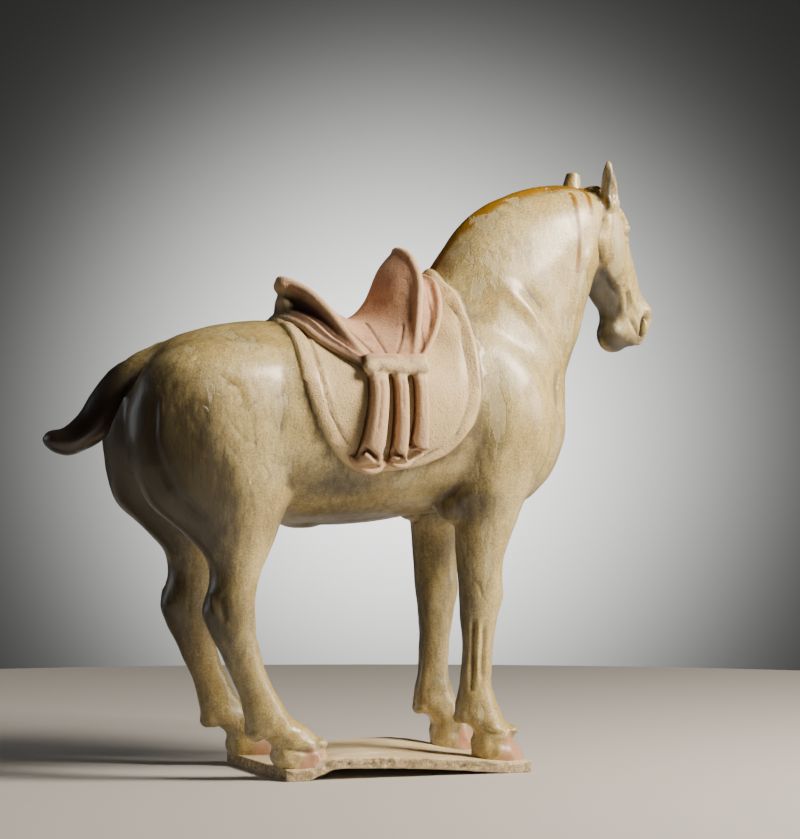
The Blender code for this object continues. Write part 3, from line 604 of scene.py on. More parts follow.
# %% Coronets and fetlock tufts
CORONETS_AND_TUFTS = [
    # centre and radii: two coronets, two tufts
    ((68, 37, 25.5), (6, 11.5, 3.6)), ((-56, 46, 22), (7, 11.5, 4)),
    ((40.5, 37, 33.5), (5.4, 8.5, 4.2)), ((-92, 46.5, 29), (6, 8.5, 5)),
]
small_forms = [ball((-49.5, 0, 149.6), (13, 14, 3.6))]
for side in (NEAR, FAR):
    small_forms += [ball(*mirrored([centre], side), radii) for centre, radii in CORONETS_AND_TUFTS]
horse = fuse([to_form(horse), right_ear, left_stub] + small_forms, "horse", FINE_VOXEL)
soften(horse, 4)
print("fine horse:", len(horse.data.polygons), "faces")

# %% [markdown]
# ## The face
#
# The face is cut by hand: a long groove behind the jaw, the round plate of the cheek, a ridge
# down the nose, an eye under a heavy brow, and a nostril that is one deep comma with a raised
# lip. All its numbers are in the head's own frame, so the two sides can share them.

# %% Strokes on one side of the head
clay = Clay(horse)


def face_line(side, points, width, height):
    """A ridge or groove on one side of the head."""
    clay.line(mirrored(points, side), width, height, head_place)


def face_mound(side, centre, radii, height):
    """A mound or hollow on one side of the head."""
    clay.mound(*mirrored([centre], side), radii, height, head_place)


# %% Cheek, jaw, nose and eye
JAW_GROOVE = [(-5.3, 18, 342), (-5.8, 18.9, 336), (-8.3, 20.4, 328), (-11.1, 21.5, 320),
              (-7.5, 17.5, 311), (-2.3, 13.2, 302.6)]
for side in (NEAR, FAR):
    face_line(side, JAW_GROOVE, 2.6, -3.0)
    face_line(side, [(-1.5, 18, 338), (-3, 19, 328), (-5.5, 19, 317), (-4.5, 17, 307),
                     (1, 14.5, 300)], 2.4, 1.0)
    face_mound(side, (4, 19, 317), (9, 8, 18), 1.6)
    face_line(side, [(-1, 12.5, 300.3), (4.8, 11.7, 296), (11, 10.8, 290.8), (15.5, 11, 286),
                     (18, 8, 278)], 2.4, -1.8)
    face_mound(side, (3, 12, 288), (8, 9, 10), -3.6)
    face_mound(side, (11, 11, 279), (6, 8, 6), -2.0)
    face_line(side, [(0, 14, 304.5), (6, 13, 298.5), (12, 12.8, 294), (17, 14, 297),
                     (20.5, 15, 302)], 1.6, 0.7)
    face_line(side, [(14.5, 13.5, 292), (18, 14.5, 297), (21, 15, 302)], 1.5, -0.7)
    face_line(side, [(13.5, 12, 290), (17.5, 10, 283), (20.6, 9, 276)], 2.2, 1.0)
    face_line(side, [(18.5, 13.5, 292), (21.6, 12, 285), (23, 10, 276)], 1.8, -1.0)
    face_line(side, [(19, 14.3, 296), (24.5, 12.3, 286.5), (29.8, 12, 279.5), (33, 12, 276)],
              1.8, 1.3)
    face_line(side, [(25.5, 12.8, 299), (30, 11.6, 288), (34.5, 11, 279.5)], 1.6, -0.5)
    face_line(side, [(8, 18, 343), (13, 17.6, 340), (18, 16.5, 335.5), (20.5, 15.5, 331)],
              2.0, 2.4)
    face_line(side, [(11, 18.6, 335.6), (15, 18.6, 334.2), (19, 17, 331.2)], 1.1, -2.1)
    face_mound(side, (16, 18, 329.3), (3.4, 4, 2.7), 3.2)
    face_line(side, [(11.5, 18.6, 326.3), (15.5, 18.6, 324.2), (19.5, 16.4, 325.2)], 1.1, -2.0)
    face_line(side, [(11, 18.4, 323.6), (15.5, 18.2, 321.8), (20, 16, 322.8)], 1.3, 0.9)

# %% Forelock tufts under the ears
TUFTS = [[(-2.4, 19.5, 346), (-2.6, 20.1, 339.5)], [(1.9, 19.1, 347), (0.8, 20.2, 340.5)],
         [(4.8, 19.4, 347), (5.3, 19.1, 340)]]
for side in (NEAR, FAR):
    for tuft in TUFTS:
        face_line(side, tuft, 1.5, 1.3)
print("tufts under each ear:", len(TUFTS))

# %% Nostrils, lips and chin
for side in (NEAR, FAR):
    face_mound(side, (42.5, 10, 279.5), (4.6, 4, 4.2), 2.2)
    face_line(side, [(35, 12.6, 277.5), (40, 12.5, 279.5), (45.4, 10.6, 275),
                     (45.6, 9, 266)], 1.5, 1.6)
    face_line(side, [(38.6, 12.4, 276), (36.4, 12.5, 273.5), (35, 12.5, 269), (35.4, 11.6, 264),
                     (37.4, 9.6, 260)], 1.7, -4.6)
    face_line(side, [(38.6, 12.4, 276), (41.8, 12, 272.5), (42.6, 11.6, 267), (41, 10.6, 261.5)],
              1.5, -3.0)
    face_line(side, [(38.6, 12.6, 271.5), (38.8, 12.2, 267), (38.8, 11.6, 263)], 1.1, 0.9)
    face_line(side, [(24.2, 10.4, 275.5), (26.4, 11.3, 271.2), (29.4, 11.6, 267.2),
                     (33.2, 9.2, 262.2), (35.6, 5, 256)], 1.4, -2.0)
    face_mound(side, (20, 9.5, 274), (3.5, 5, 3.4), -0.8)
face_line(NEAR, [(44.5, 8, 268), (45.6, 0, 269), (44.5, -8, 268)], 2.2, -0.7)
clay.mound((43.5, 0, 274), (4, 8, 5), -1.6, head_place)
clay.mound((23, 0, 256), (9, 5, 4), 1.0, head_place)
clay.settle()
print("face carved")

# %% [markdown]
# ## Mane, legs and old damage
#
# The clipped mane is a low ridge with slanting cuts near the poll. The cannons show their tendons
# as upright ridges and the hooves have a rim. Old cracks run down the near fore leg and the
# breast, and a broken net of them covers the haunches.

# %% The clipped mane
CREST = [(34, 0, 303), (42, 0, 315), (54, 0.5, 329), (68, 1.5, 340), (86, 3, 348),
         (106, 5.5, 353), (125, 8, 355), (139, 9.8, 353)]
clay.line(CREST, 5.0, 2.0)
clay.settle()
for side in (NEAR, FAR):
    edge = [(80, 2.4 + 8.5 * side, 343), (90, 3.5 + 8.5 * side, 346),
            (106, 5.5 + 8.5 * side, 349), (124, 8 + 8.5 * side, 350),
            (139, 9.8 + 8 * side, 348.5)]
    clay.line(edge, 1.5, -0.7)
CUT_SPACING = 3.2
for x in np.arange(104, 140, CUT_SPACING):
    y = 5.5 + (x - 106) * 0.24   # the crest drifts to the left towards the poll
    for side in (NEAR, FAR):
        clay.line([(x, y + 1.5 * side, 356), (x + CUT_SPACING, y + 7.5 * side, 350)], 0.75, -0.8)
print("mane cuts", CUT_SPACING, "mm apart")

# %% Legs
LEG_LINES = [
    # points, width, height: tendons, the fold over the elbow, the hoof's rim; then the hind leg
    ([(41.8, 44, 92), (41.5, 43, 76), (40.8, 42, 54)], 1.3, 1.0),
    ([(44.4, 45, 94), (44.1, 44, 76), (43.6, 44, 62), (42.8, 44, 48)], 1.1, -1.9),
    ([(47.2, 46, 92), (46.8, 45, 76), (46.2, 45, 54)], 1.1, 1.2),
    ([(50, 46, 90), (49.8, 46, 72), (49, 46, 54)], 1.3, -1.5),
    ([(32.5, 45, 168), (36.4, 51, 171.6), (47.4, 58.4, 172.6), (57.8, 60, 171.6),
      (67.6, 57.8, 171.5)], 2.6, -0.6),
    ([(46, 47, 31), (50, 48, 27.2), (56, 48, 24.5), (64, 48, 23.2)], 1.5, -1.3),
    ([(-119.4, 48, 111), (-120, 52, 103), (-117.5, 54, 95)], 2.2, 1.0),
    ([(-114, 53, 112), (-114.5, 55, 103), (-112, 55.5, 92)], 2.4, -1.2),
    ([(-79, 55, 21), (-71, 57.5, 19), (-62, 57.5, 17.8), (-54, 55, 18)], 1.4, -1.0),
]
LEG_MOUNDS = [
    # centre, radii, height: elbow, knee, fetlock, hock, hind fetlock, then the heels
    ((38, 49, 166), (6, 8, 5), 1.4), ((58, 40, 107), (8, 10, 9), 1.2),
    ((62, 37, 38), (7, 10, 8), 0.9), ((-92, 50, 101), (8, 8, 12), 0.8),
    ((-68, 46, 36), (8, 10, 7), 0.8), ((44, 37, 24), (3, 12, 4), -1.2),
    ((-86, 46, 21), (3.5, 11, 3.5), -1.2),
]
for side in (NEAR, FAR):
    for points, width, height in LEG_LINES:
        clay.line(mirrored(points, side), width, height)
    for centre, radii, height in LEG_MOUNDS:
        clay.mound(*mirrored([centre], side), radii, height)
print("strokes on each side's legs:", len(LEG_LINES) + len(LEG_MOUNDS))

# %% Cracks and pits
CRACKS = [
    # two on the near fore leg, one on the breast
    [(41.8, -47.8, 116.4), (44.7, -49.2, 113.9), (46.9, -49.6, 108.7), (49.1, -49.5, 103.8)],
    [(42.2, -54, 164.8), (44.9, -54.7, 161.6), (44.9, -53.4, 155.2)],
    [(104, -30, 234), (105.5, -28, 228), (107, -24, 222)],
]
for crack in CRACKS:
    clay.line(crack, 0.6, -0.6)
HAUNCH_CRACKS = [
    # figure x and z along cracks and flaked edges of the haunch
    [(-118, 237), (-113, 234), (-108, 231), (-115, 232)],
    [(-108, 231), (-105, 222), (-104, 216), (-97, 222)],
    [(-130, 220), (-127, 215), (-126, 209)],
    [(-125, 230), (-123, 226), (-122, 222)],
    [(-115, 215), (-111, 208), (-107, 202), (-97, 197)],
    [(-99, 209), (-98, 201), (-97, 192)],
    [(-115, 197), (-111, 193), (-107, 189)],
    [(-102, 176), (-100, 169), (-99, 162), (-103, 157), (-106, 152)],
    [(-89, 166), (-87, 162), (-86, 158)],
    [(-133, 199), (-128, 192), (-122, 190)],
    [(-93, 187), (-89, 180), (-90, 173)],
]


CRACK_SHAKE, CRACK_SHAKE_SIZE = 1.1, 2.1
CRACK_WIDTH, CRACK_REACH = 0.6, 2
CRACK_RELIEF = ((0.0, -0.35), (1.1, 0.2))   # shift and height of the groove, then of its lip
LIP_SLANT = 0.6


def cracked(clay, side, line):
    """A ragged crack on the flank through points of figure x and z; its trace comes back."""
    jagged = []
    for x, _, z in smooth_line([(x, 0, z) for x, z in line], 6):
        shake = Vector((x / CRACK_SHAKE_SIZE, z / CRACK_SHAKE_SIZE, 0.5))
        x += CRACK_SHAKE * noise.noise(shake)
        z += CRACK_SHAKE * noise.noise(-shake)
        jagged.append(clay.flank(x, z, side))
    for shift, rise in CRACK_RELIEF:
        trace = np.array(jagged) + np.array([shift, 0, LIP_SLANT * shift]) * MM
        chosen, gap = clay.gap_to(trace, CRACK_REACH * MM)
        amount = rise * MM * np.exp(-(gap / (CRACK_WIDTH * MM)) ** 2)
        clay.places[chosen] += clay.normals[chosen] * amount[:, None]
    return jagged


crack_traces = [cracked(clay, side, line) for side in (NEAR, FAR) for line in HAUNCH_CRACKS]
PITS = [(106.9, -25.6, 314.4), (49.5, -21.4, 306.7), (54.6, -34.7, 281.6), (-130.6, -56.2, 242.7),
        (-144, -44.2, 246.6), (-105.1, -48.1, 255.1), (61.5, -10, 330.5), (47.3, -45.6, 260.8)]
for pit in PITS:
    clay.mound(pit, (0.9, 0.9, 0.9), -0.5)
clay.settle()
print("cracks:", len(CRACKS) + len(crack_traces), "pits:", len(PITS))

# %% Hand marks, strongest on the lower legs
lower_legs = np.clip(1.5 - in_figure(clay.places)[:, 2] / 40, 0, 1)
clay.knead(13, 0.6)
clay.settle()
clay.knead(7, 1.5, lower_legs)
clay.settle()
print("horse kneaded:", len(clay.places), "vertices")

# %% [markdown]
# ## The saddle blanket
#
# The blanket is not a loose cloth but a thin step on the flanks, rounded at its rim. The skin
# inside its outline is raised by two millimetres; then the border line is incised, and a bright
# rounded rim is built up along the front edge.

# %% The blanket's outline, raised on both flanks
BLANKET_OUTLINE = [(-67, 330), (-68, 266), (-67.4, 252), (-67, 241), (-65.4, 231), (-62, 219),
                   (-57.3, 206.5), (-49.5, 193.3), (-41.9, 185.7), (-34.4, 181.8), (-28, 180.4),
                   (-18, 180.8), (-7.7, 182), (2.8, 183.6), (13, 186.9), (23.2, 192),
                   (32, 200.6), (38.6, 211), (42.4, 225), (44, 240), (44.3, 252), (43.6, 264),
                   (41.8, 277), (39, 286.5), (34.8, 294), (33, 330)]
BLANKET_THICKNESS = 2.2
OUTLINE_MARGIN = 0.004   # metres round the outline that are looked at
NO_LENGTH = 1e-15


def inside(skin, outline, edge):
    """How far each vertex is inside an outline of figure x and z, from 0 to 1 over its edge."""
    closed = smooth_line([(x, 0, z) for x, z in outline], 3)
    corners = np.array([tuple(figure @ Vector(point)) for point in closed])[:, ::2]
    flat = skin.places[:, ::2]
    chosen = np.nonzero(np.all((flat > corners.min(axis=0) - OUTLINE_MARGIN)
                               & (flat < corners.max(axis=0) + OUTLINE_MARGIN), axis=1))[0]
    flat = flat[chosen]
    within = np.zeros(len(flat), dtype=bool)
    nearest = np.full(len(flat), FAR_AWAY)
    for start, end in zip(corners, np.roll(corners, -1, axis=0)):
        run = end - start
        share = np.clip((flat - start) @ run / (run @ run + NO_LENGTH), 0, 1)
        nearest = np.minimum(nearest, np.linalg.norm(flat - start - share[:, None] * run,
                                                     axis=1))
        crosses = (flat[:, 1] < start[1]) != (flat[:, 1] < end[1])
        at = start[0] + (flat[:, 1] - start[1]) / (run[1] + NO_RUN) * run[0]
        within ^= crosses & (flat[:, 0] < at)
    rise = np.clip(np.where(within, nearest, -nearest) / (edge * MM) + 0.5, 0, 1)
    weights = np.zeros(len(skin.places))
    weights[chosen] = rise * rise * (3 - 2 * rise)
    return weights


raised = inside(clay, BLANKET_OUTLINE, 1.6) * BLANKET_THICKNESS * MM
clay.places += clay.normals * raised[:, None]
clay.settle()
print("blanket raised", BLANKET_THICKNESS, "mm")

# %% Border lines and the raised front rim
BORDER_REAR = [(-59, 30, 263), (-58.4, 35.8, 260), (-58.3, 48.2, 250), (-57.1, 55.2, 240.2),
               (-55.8, 59.1, 231.5), (-54.1, 61.4, 222.8), (-50.9, 62.6, 213.2),
               (-43.8, 62.7, 200.7), (-38.6, 62.4, 194.8)]
BORDER_FRONT = [(34.2, 26.8, 280.7), (37.4, 32.3, 273.7), (36.1, 44.5, 260.5), (35.5, 52.9, 244.6),
                (34.8, 58.5, 229.9), (33.2, 60.6, 217), (29.8, 61.3, 209.3), (24, 61.3, 201),
                (18.4, 61.2, 196.6), (10.3, 60.7, 191.8), (-2, 60.4, 187)]
FRONT_RIM = [(34.4, 18, 291), (38.5, 26.7, 284), (41.4, 33.2, 275.5), (41.2, 46.4, 259.5),
             (41.9, 50.3, 251), (41.6, 54.9, 239.5), (40.2, 58.8, 225), (36.6, 60.4, 211.5),
             (30.6, 60.5, 203), (22, 59.5, 194.5)]
BORDER_RIDGE = [(x + 1.8, y, z) for x, y, z in BORDER_REAR]
for side in (NEAR, FAR):
    for line, width, height in ((BORDER_REAR, 1.0, -0.9), (BORDER_FRONT, 1.0, -0.9),
                                (FRONT_RIM, 1.5, 0.9), (BORDER_RIDGE, 1.0, 0.5)):
        clay.line(mirrored(line, side), width, height)
clay.settle()
soften(horse, 1)
print("border and rim drawn on both flanks")

# %% [markdown]
# ## The saddle
#
# The seat is one bent sheet from a flaring cantle to a tall pommel, tied down on each flank by a
# doubled strap that gathers its cloth in three hanging pleats. It is laid on the finished back: a
# grid bent through seven lines and given a thickness, rolls for its lips, and soft clay under it.

# %% The seat, the cantle's back and the front leaf, as lines from the spine to the flank
CANTLE_RIM = [(-62, 0, 293.5), (-52, 13, 288), (-45.5, 25, 280), (-40, 35, 270.5),
              (-36, 43.5, 262), (-31.5, 49.5, 254), (-27, 54, 247)]
CANTLE_BACK = [(-54, 0, 278), (-50, 11, 275.5), (-45, 22, 270), (-41, 31.5, 264),
               (-38, 39.5, 258), (-32.5, 47, 251), (-27, 53.5, 244.5)]
PAD_LINE = [(-65, 0, 271), (-63.5, 13, 270.5), (-60.5, 25, 268), (-57.5, 34, 264.8),
            (-53, 43.5, 258.6), (-43, 51.5, 251.5), (-30.5, 58.5, 243.5)]
POMMEL_RIM = [(11.5, 0, 312.5), (14.5, 12, 309.5), (17, 24, 295.5), (13, 35.5, 278.5),
              (9, 43.5, 264), (6, 49, 254), (3, 54, 246)]
LEAF_EDGE = [(28, 0, 297), (30, 12, 294.5), (29, 24, 286), (25.5, 36, 274), (19.5, 45, 262.5),
             (13, 51, 253), (7, 55.5, 246)]
SEAT_LINES = [
    CANTLE_RIM,
    [(-53, 0, 285), (-45, 13, 281.5), (-38, 25, 274.5), (-33, 35, 266.5), (-29.5, 42.5, 259),
     (-26, 49, 252), (-22.5, 54, 246)],
    [(-38, 0, 273.5), (-31, 13, 272), (-26.5, 25, 266.5), (-23, 35, 260.5), (-20, 42.5, 255),
     (-17, 49, 250.5), (-14.5, 54.5, 245.5)],
    [(-22, 0, 269), (-17.5, 13, 268), (-14.5, 25, 264), (-13, 35, 259), (-12, 42.5, 254.5),
     (-10.5, 49, 250), (-9, 54.5, 245.5)],
    [(-9, 0, 280), (-5, 12, 277), (-2.5, 23, 271), (-2, 34, 263.5), (-2.5, 42.5, 256.5),
     (-3.5, 49, 250.5), (-4, 54.5, 245.5)],
    [(1, 0, 301), (5, 13, 297), (8, 25, 283), (7, 35, 271), (4.6, 43, 260),
     (2.4, 49, 252), (0, 54.5, 245.5)],
    POMMEL_RIM,
]
LEAF_LINES = [
    [(14, 0, 297), (16, 12, 296), (17.5, 23.5, 291), (14, 34.5, 276.5), (10, 43, 263),
     (7, 49, 253.5), (4, 54, 246)],
    [(22, 0, 295), (24.5, 12, 293), (25, 22.5, 285), (20.5, 34, 273), (15.5, 43, 261.2),
     (9.5, 49.5, 252.3), (5.5, 54.5, 246)],
    LEAF_EDGE,
]


# %% A bent sheet, and a rolled lip along an edge
def sheet(lines, thickness):
    """A grid bent through lines of points from flank to flank, and given its thickness."""
    rows = []
    for line in lines:
        whole = [(x, -y, z) for x, y, z in reversed(line[1:])] + line
        rows.append([number for point in whole for number in point])
    grid = []
    for row in smooth_rows(rows, 6):
        keyed = [tuple(point) + (0,) for point in np.array(row).reshape(-1, 3)]
        grid.append([tuple(point[:3]) for point in smooth_rows(keyed, 5)])
    form = bmesh.new()
    across, along = len(grid[0]), len(grid)
    bmesh.ops.create_grid(form, x_segments=across - 1, y_segments=along - 1, size=1.0)
    order = sorted(form.verts, key=lambda vert: (round(vert.co.y, 5), round(vert.co.x, 5)))
    for index, vert in enumerate(order):
        vert.co = figure @ Vector(grid[index // across][index % across])
    bmesh.ops.solidify(form, geom=form.faces, thickness=thickness * MM)
    bmesh.ops.translate(form, verts=form.verts, vec=(0, 0, thickness / 2 * MM))
    bmesh.ops.recalc_face_normals(form, faces=form.faces)
    return form


def lip(line, top_radius, foot_radius):
    """The rounded lip of a sheet, over the spine from strap to strap."""
    whole = [(x, -y, z) for x, y, z in reversed(line[1:])] + line
    points = [figure @ Vector(point) for point in smooth_line(whole, 4)]
    across = np.abs(np.linspace(-1, 1, len(points)))
    return roll(points, (top_radius + (foot_radius - top_radius) * across) * MM, around=14)


# %% The strap and the hanging pleats, laid on the flank
STRAP_Z = 240.6
STRAP_ENDS = (-27.5, 6.0)
STRAP_DROPS = (-2.0, 2.0)
STRAP_LIFT, STRAP_RADIUS = 5.4, 3.9
PLEATS = [
    # x at the strap, x at the hem, z of the hem, half width at the strap and the hem, depth
    (-21.4, -29.6, 185.0, 6.0, 9.0, 9.4),
    (-8.4, -11.4, 187.5, 4.3, 5.4, 8.8),
    (4.2, 1.6, 193.0, 4.1, 6.2, 7.4),
]


def strap(side, drop):
    """One of the two cords, side by side, that gather the saddle cloth on a flank."""
    points, radii = [], []
    start, end = STRAP_ENDS
    for t in np.linspace(0, 1, 24):
        z = STRAP_Z - drop + 0.5 * math.sin(7 * t)
        points.append(clay.flank(start + (end - start) * t, z, side, lift=STRAP_LIFT))
        radii.append((STRAP_RADIUS + 0.2 * math.sin(19 * t + drop)) * MM)
    return roll(points, radii)


def pleat(side, top_x, hem_x, hem_z, top_half, hem_half, depth):
    """One hanging pleat: upright sections that widen a little towards the hem."""
    rows = []
    for t in (0, 0.2, 0.4, 0.6, 0.78, 0.9, 1):
        x = top_x + (hem_x - top_x) * t ** 1.4
        z = STRAP_Z + (hem_z - STRAP_Z) * t
        half = top_half + (hem_half - top_half) * t ** 3
        on_flank = (figure.inverted() @ clay.flank(x, z, side)).y
        reach = depth * min(1, 0.72 + 1.6 * t) * (0.94 + 0.06 * math.cos(9 * t))
        rows.append((x + half, z, x - half, z, reach, on_flank + 0.6 * side, 0.5, 2.7))
    return loft(rows, around=32)


def hem(side, points, radius):
    """The turned-up cloth edge under a pleat."""
    laid = [clay.flank(x, z, side, lift=lift) for x, z, lift in smooth_line(points, 4)]
    return roll(laid, [radius * MM] * len(laid), around=12)


# %% The cloth edges turned up under the pleats
HEMS = [([(-39.5, 189.0, 1.5), (-35.5, 184.8, 5.0), (-29.5, 183.2, 7.2), (-24, 183.6, 6.2),
          (-20.0, 186.0, 3.0)], 1.8),
        ([(-18.0, 186.5, 2.0), (-13, 185.6, 6.2), (-7, 186.0, 5.6), (-2, 188.4, 3.2),
          (4, 191.2, 2.2)], 1.6)]
HEM_FOLDS = [
    # the dark arch under each pleat
    [(-38, 71, 189.2), (-35.7, 72, 192.6), (-32.6, 72, 193.4), (-29.6, 72, 191.4),
     (-25.4, 71, 187.4)],
    [(-21.4, 69, 188.6), (-19.2, 71, 191.6), (-16, 71, 191.8), (-12.6, 71, 190.2),
     (-8.3, 70, 189)],
    [(-4.5, 68, 196.9), (-2, 69, 195), (0.8, 69, 194.2), (4.2, 68, 195.8)],
]
FOLD_LIP_DROP = 2.6


def cloth(side):
    """The three pleats of one flank and the cloth edges under them."""
    return ([pleat(side, *sizes) for sizes in PLEATS]
            + [hem(side, points, radius) for points, radius in HEMS])


# %% The saddle fused
CANTLE_PROP = [(-50, 261, -67, 261, 17, 0, 0.5, 2.0), (-51, 268, -65.6, 268, 15, 0, 0.5, 2.0),
               (-53, 275, -65, 275, 13, 0, 0.5, 2.0), (-56, 281, -64.6, 281, 10, 0, 0.5, 2.0),
               (-59, 285, -63.5, 285, 5, 0, 0.5, 2.0)]


def halfway(first, second, share):
    """The line between two lines of as many points."""
    return [tuple(a + (b - a) * share for a, b in zip(*pair)) for pair in zip(first, second)]


cantle_back = [lip(halfway(CANTLE_RIM, CANTLE_BACK, share), 4.2, 3.0) for share in (0.35, 0.7, 1)]
cantle_back += [lip(halfway(CANTLE_BACK, PAD_LINE, share), 4.2, 3.0) for share in (0.33, 0.66)]
clay = Clay(horse)
saddle_forms = [sheet(SEAT_LINES, 4.4), ball((-61.2, 0, 290.5), (4.6, 9, 5)),
                sheet(LEAF_LINES, 3.4), lip(CANTLE_RIM, 3.5, 2.2), lip(POMMEL_RIM, 2.7, 2.3),
                lip(LEAF_EDGE, 2.2, 1.9), lip(PAD_LINE, 2.4, 2.2),
                loft(CANTLE_PROP, around=32), ball((-26, 0, 258), (20, 34, 9)),
                ball((8, 0, 266), (14, 30, 22)), ball((14, 0, 290), (8, 11, 12))]
for side in (NEAR, FAR):
    saddle_forms += [strap(side, drop) for drop in STRAP_DROPS]
    saddle_forms += cloth(side)
saddle = fuse(saddle_forms + cantle_back, "saddle", SADDLE_VOXEL)
soften(saddle, 6)
print("saddle:", len(saddle.data.polygons), "faces")

# %% Creases pressed into the seat, the pommel and the pleats
SEAT_CREASES = [
    # points, width, height
    ([(-14.8, 19.7, 268.6), (-14.7, 33, 262.3), (-14.1, 44.8, 255.2), (-13.1, 52.3, 249.7)],
     0.8, -0.9),
    ([(2.9, 35.6, 268.3), (-0.1, 42, 260.3), (-6.1, 51.6, 250.3)], 0.8, -0.9),
    ([(-33.9, 42.3, 264.9), (-28.5, 44.7, 259), (-21.9, 52.3, 250.2)], 0.8, -0.7),
    ([(13.5, 41.6, 268.3), (12.1, 47.1, 259.3), (8.4, 52.9, 249.9)], 0.8, -0.7),
]
POMMEL_CREASE = [(10.5, 9.1, 306), (10.6, 16.2, 298.7), (10.7, 23.4, 290.5), (9.5, 29.5, 282.4),
                 (6.9, 35.9, 272.3), (2.9, 43.7, 260.3)]
CREASES = SEAT_CREASES + [
    ([(-4.5, 14.2, 278.2), (-1.1, 16.5, 280.7), (2.6, 19.4, 283.4)], 0.9, -0.4),
    (POMMEL_CREASE, 1.3, -0.4),
    ([(7.9, 23.8, 286.5), (7.4, 32.6, 276.3), (4.5, 39.2, 266.3)], 4.0, -0.8),
    ([(22, 20, 290), (22, 32, 279), (17, 43, 264)], 0.9, -0.6),
    ([(-22.4, 67.1, 235.4), (-23, 70.4, 226.7), (-24.5, 72.5, 217), (-27, 73.3, 203)], 0.8, -0.6),
    ([(-8.4, 65.3, 236), (-9.2, 68.9, 226.7), (-9.8, 71.2, 215.1)], 0.8, -0.5),
    ([(4.8, 64.4, 237.5), (4.1, 69, 224.8), (3, 70.9, 212)], 0.8, -0.4),
]
clay = Clay(saddle)
for side in (NEAR, FAR):
    for points, width, height in CREASES:
        clay.line(mirrored(points, side), width, height)
    for points in HEM_FOLDS:
        under = [(x, y, z - FOLD_LIP_DROP) for x, y, z in points]
        clay.line(mirrored(points, side), 1.7, -2.6)
        clay.line(mirrored(under, side), 1.2, 1.0)
near_strap = np.exp(-((in_figure(clay.places)[:, 2] - STRAP_Z) / 6) ** 2)
clay.knead(2.4, 0.25, 0.4 + 0.6 * near_strap)
clay.settle()
soften(saddle, 1)
print("creases on each side:", len(CREASES), "folds:", len(HEM_FOLDS))

# %% [markdown]
# ## The slab
#
# The base is one thin sheet of clay, cut roughly and warped in the kiln: it arches in the middle
# and rests on its two ends. A fine grid is bent to that arch, extruded to its thickness and
# wrapped again, so that its broken edges can be worked like the rest of the clay.

# %% The warped slab
SLAB_LENGTH = (-78.0, 78.0)
SLAB_HALF_WIDTHS = (60.5, 55.0)
SLAB_THICKNESS = 7.0
ARCH_RISE = 6.2
RESTING = 16.0
CROWN, CROWN_SKEW = 0.42, 0.22   # where the arch is highest, and how that line slants


def slab_form():
    """The bent sheet of the base, from its underside up."""
    form = bmesh.new()
    bmesh.ops.create_grid(form, x_segments=78, y_segments=58, size=1.0)
    start, end = SLAB_LENGTH
    made = bmesh.ops.extrude_face_region(form, geom=form.faces[:])["geom"]
    upper = {item for item in made if isinstance(item, bmesh.types.BMVert)}
    for vert in form.verts:
        along, across = (vert.co.x + 1) / 2, vert.co.y
        x = start + (end - start) * along
        half = SLAB_HALF_WIDTHS[0] + (SLAB_HALF_WIDTHS[1] - SLAB_HALF_WIDTHS[0]) * along
        crown = start + (end - start) * (CROWN + CROWN_SKEW * across)
        reach = (crown - start if x < crown else end - crown) - RESTING
        share = min(max(1 - (abs(x - crown)) / reach, 0), 1)
        lift = ARCH_RISE * math.sin(math.pi / 2 * share)
        ragged = noise.noise(Vector((x / 19, across * 2.2, 0.3))) * 1.3
        y = across * half + (ragged if abs(across) > 0.98 else 0)
        z = HOOF_BED / MM + lift + (SLAB_THICKNESS if vert in upper else 0.0)
        vert.co = figure @ Vector((x, y, z))
    bmesh.ops.recalc_face_normals(form, faces=form.faces)
    return form


slab = fuse([slab_form(), ball((-58, -52, 8), (10, 8, 5)), ball((-70, 50, 7), (9, 8, 4))],
            "slab", 1.0)
soften(slab, 3)
clay = Clay(slab)
edge_share = np.clip(1.2 - np.abs(clay.normals[:, 2]) * 1.3, 0.12, 1)
clay.knead(9, 1.5, edge_share)
clay.settle()
clay.knead(3.4, 0.9, edge_share)
clay.settle()
SLAB_CRACK = [(-36.8, -45.6, 16), (-27, -41, 16), (-17.8, -39, 16), (-11, -34, 16),
              (-3.6, -30.6, 16), (5, -27, 16), (10.8, -22.1, 16)]
clay.line(SLAB_CRACK, 1.1, -1.3)
clay.settle()
print("slab:", len(slab.data.polygons), "faces")

# %% [markdown]
# ## Thinning the skin
#
# The carved horse has more triangles than it needs on its smooth barrel. The Decimate modifier
# takes them out where the surface is plain, and a vertex group keeps the head, the neck and the
# legs nearly as dense as they were carved.

# %% Fewer triangles where the form is plain
TRIANGLE_BUDGET = 192_000
KEPT_WEIGHT = 0.25   # how freely the detailed places are thinned


def thin(target, limit, keep=()):
    """Reduce an object to a number of triangles, less inside the kept figure boxes."""
    target.data.calc_loop_triangles()
    share = limit / len(target.data.loop_triangles)
    if share < 1:
        places = in_figure(places_of(target))
        plain = np.ones(len(places), dtype=bool)
        for low, high in keep:
            plain &= ~np.all((places > low) & (places < high), axis=1)
        group = target.vertex_groups.new(name="plain")
        group.add(np.nonzero(plain)[0].tolist(), 1.0, "REPLACE")
        group.add(np.nonzero(~plain)[0].tolist(), KEPT_WEIGHT, "REPLACE")
        fewer = target.modifiers.new("thin", "DECIMATE")
        fewer.ratio = share
        fewer.vertex_group = group.name
        fewer.vertex_group_factor = 1.0
        apply_modifiers(target)
        target.vertex_groups.clear()
    target.data.shade_smooth()
    target.data.calc_loop_triangles()
    print(target.name, "has", len(target.data.loop_triangles), "triangles")


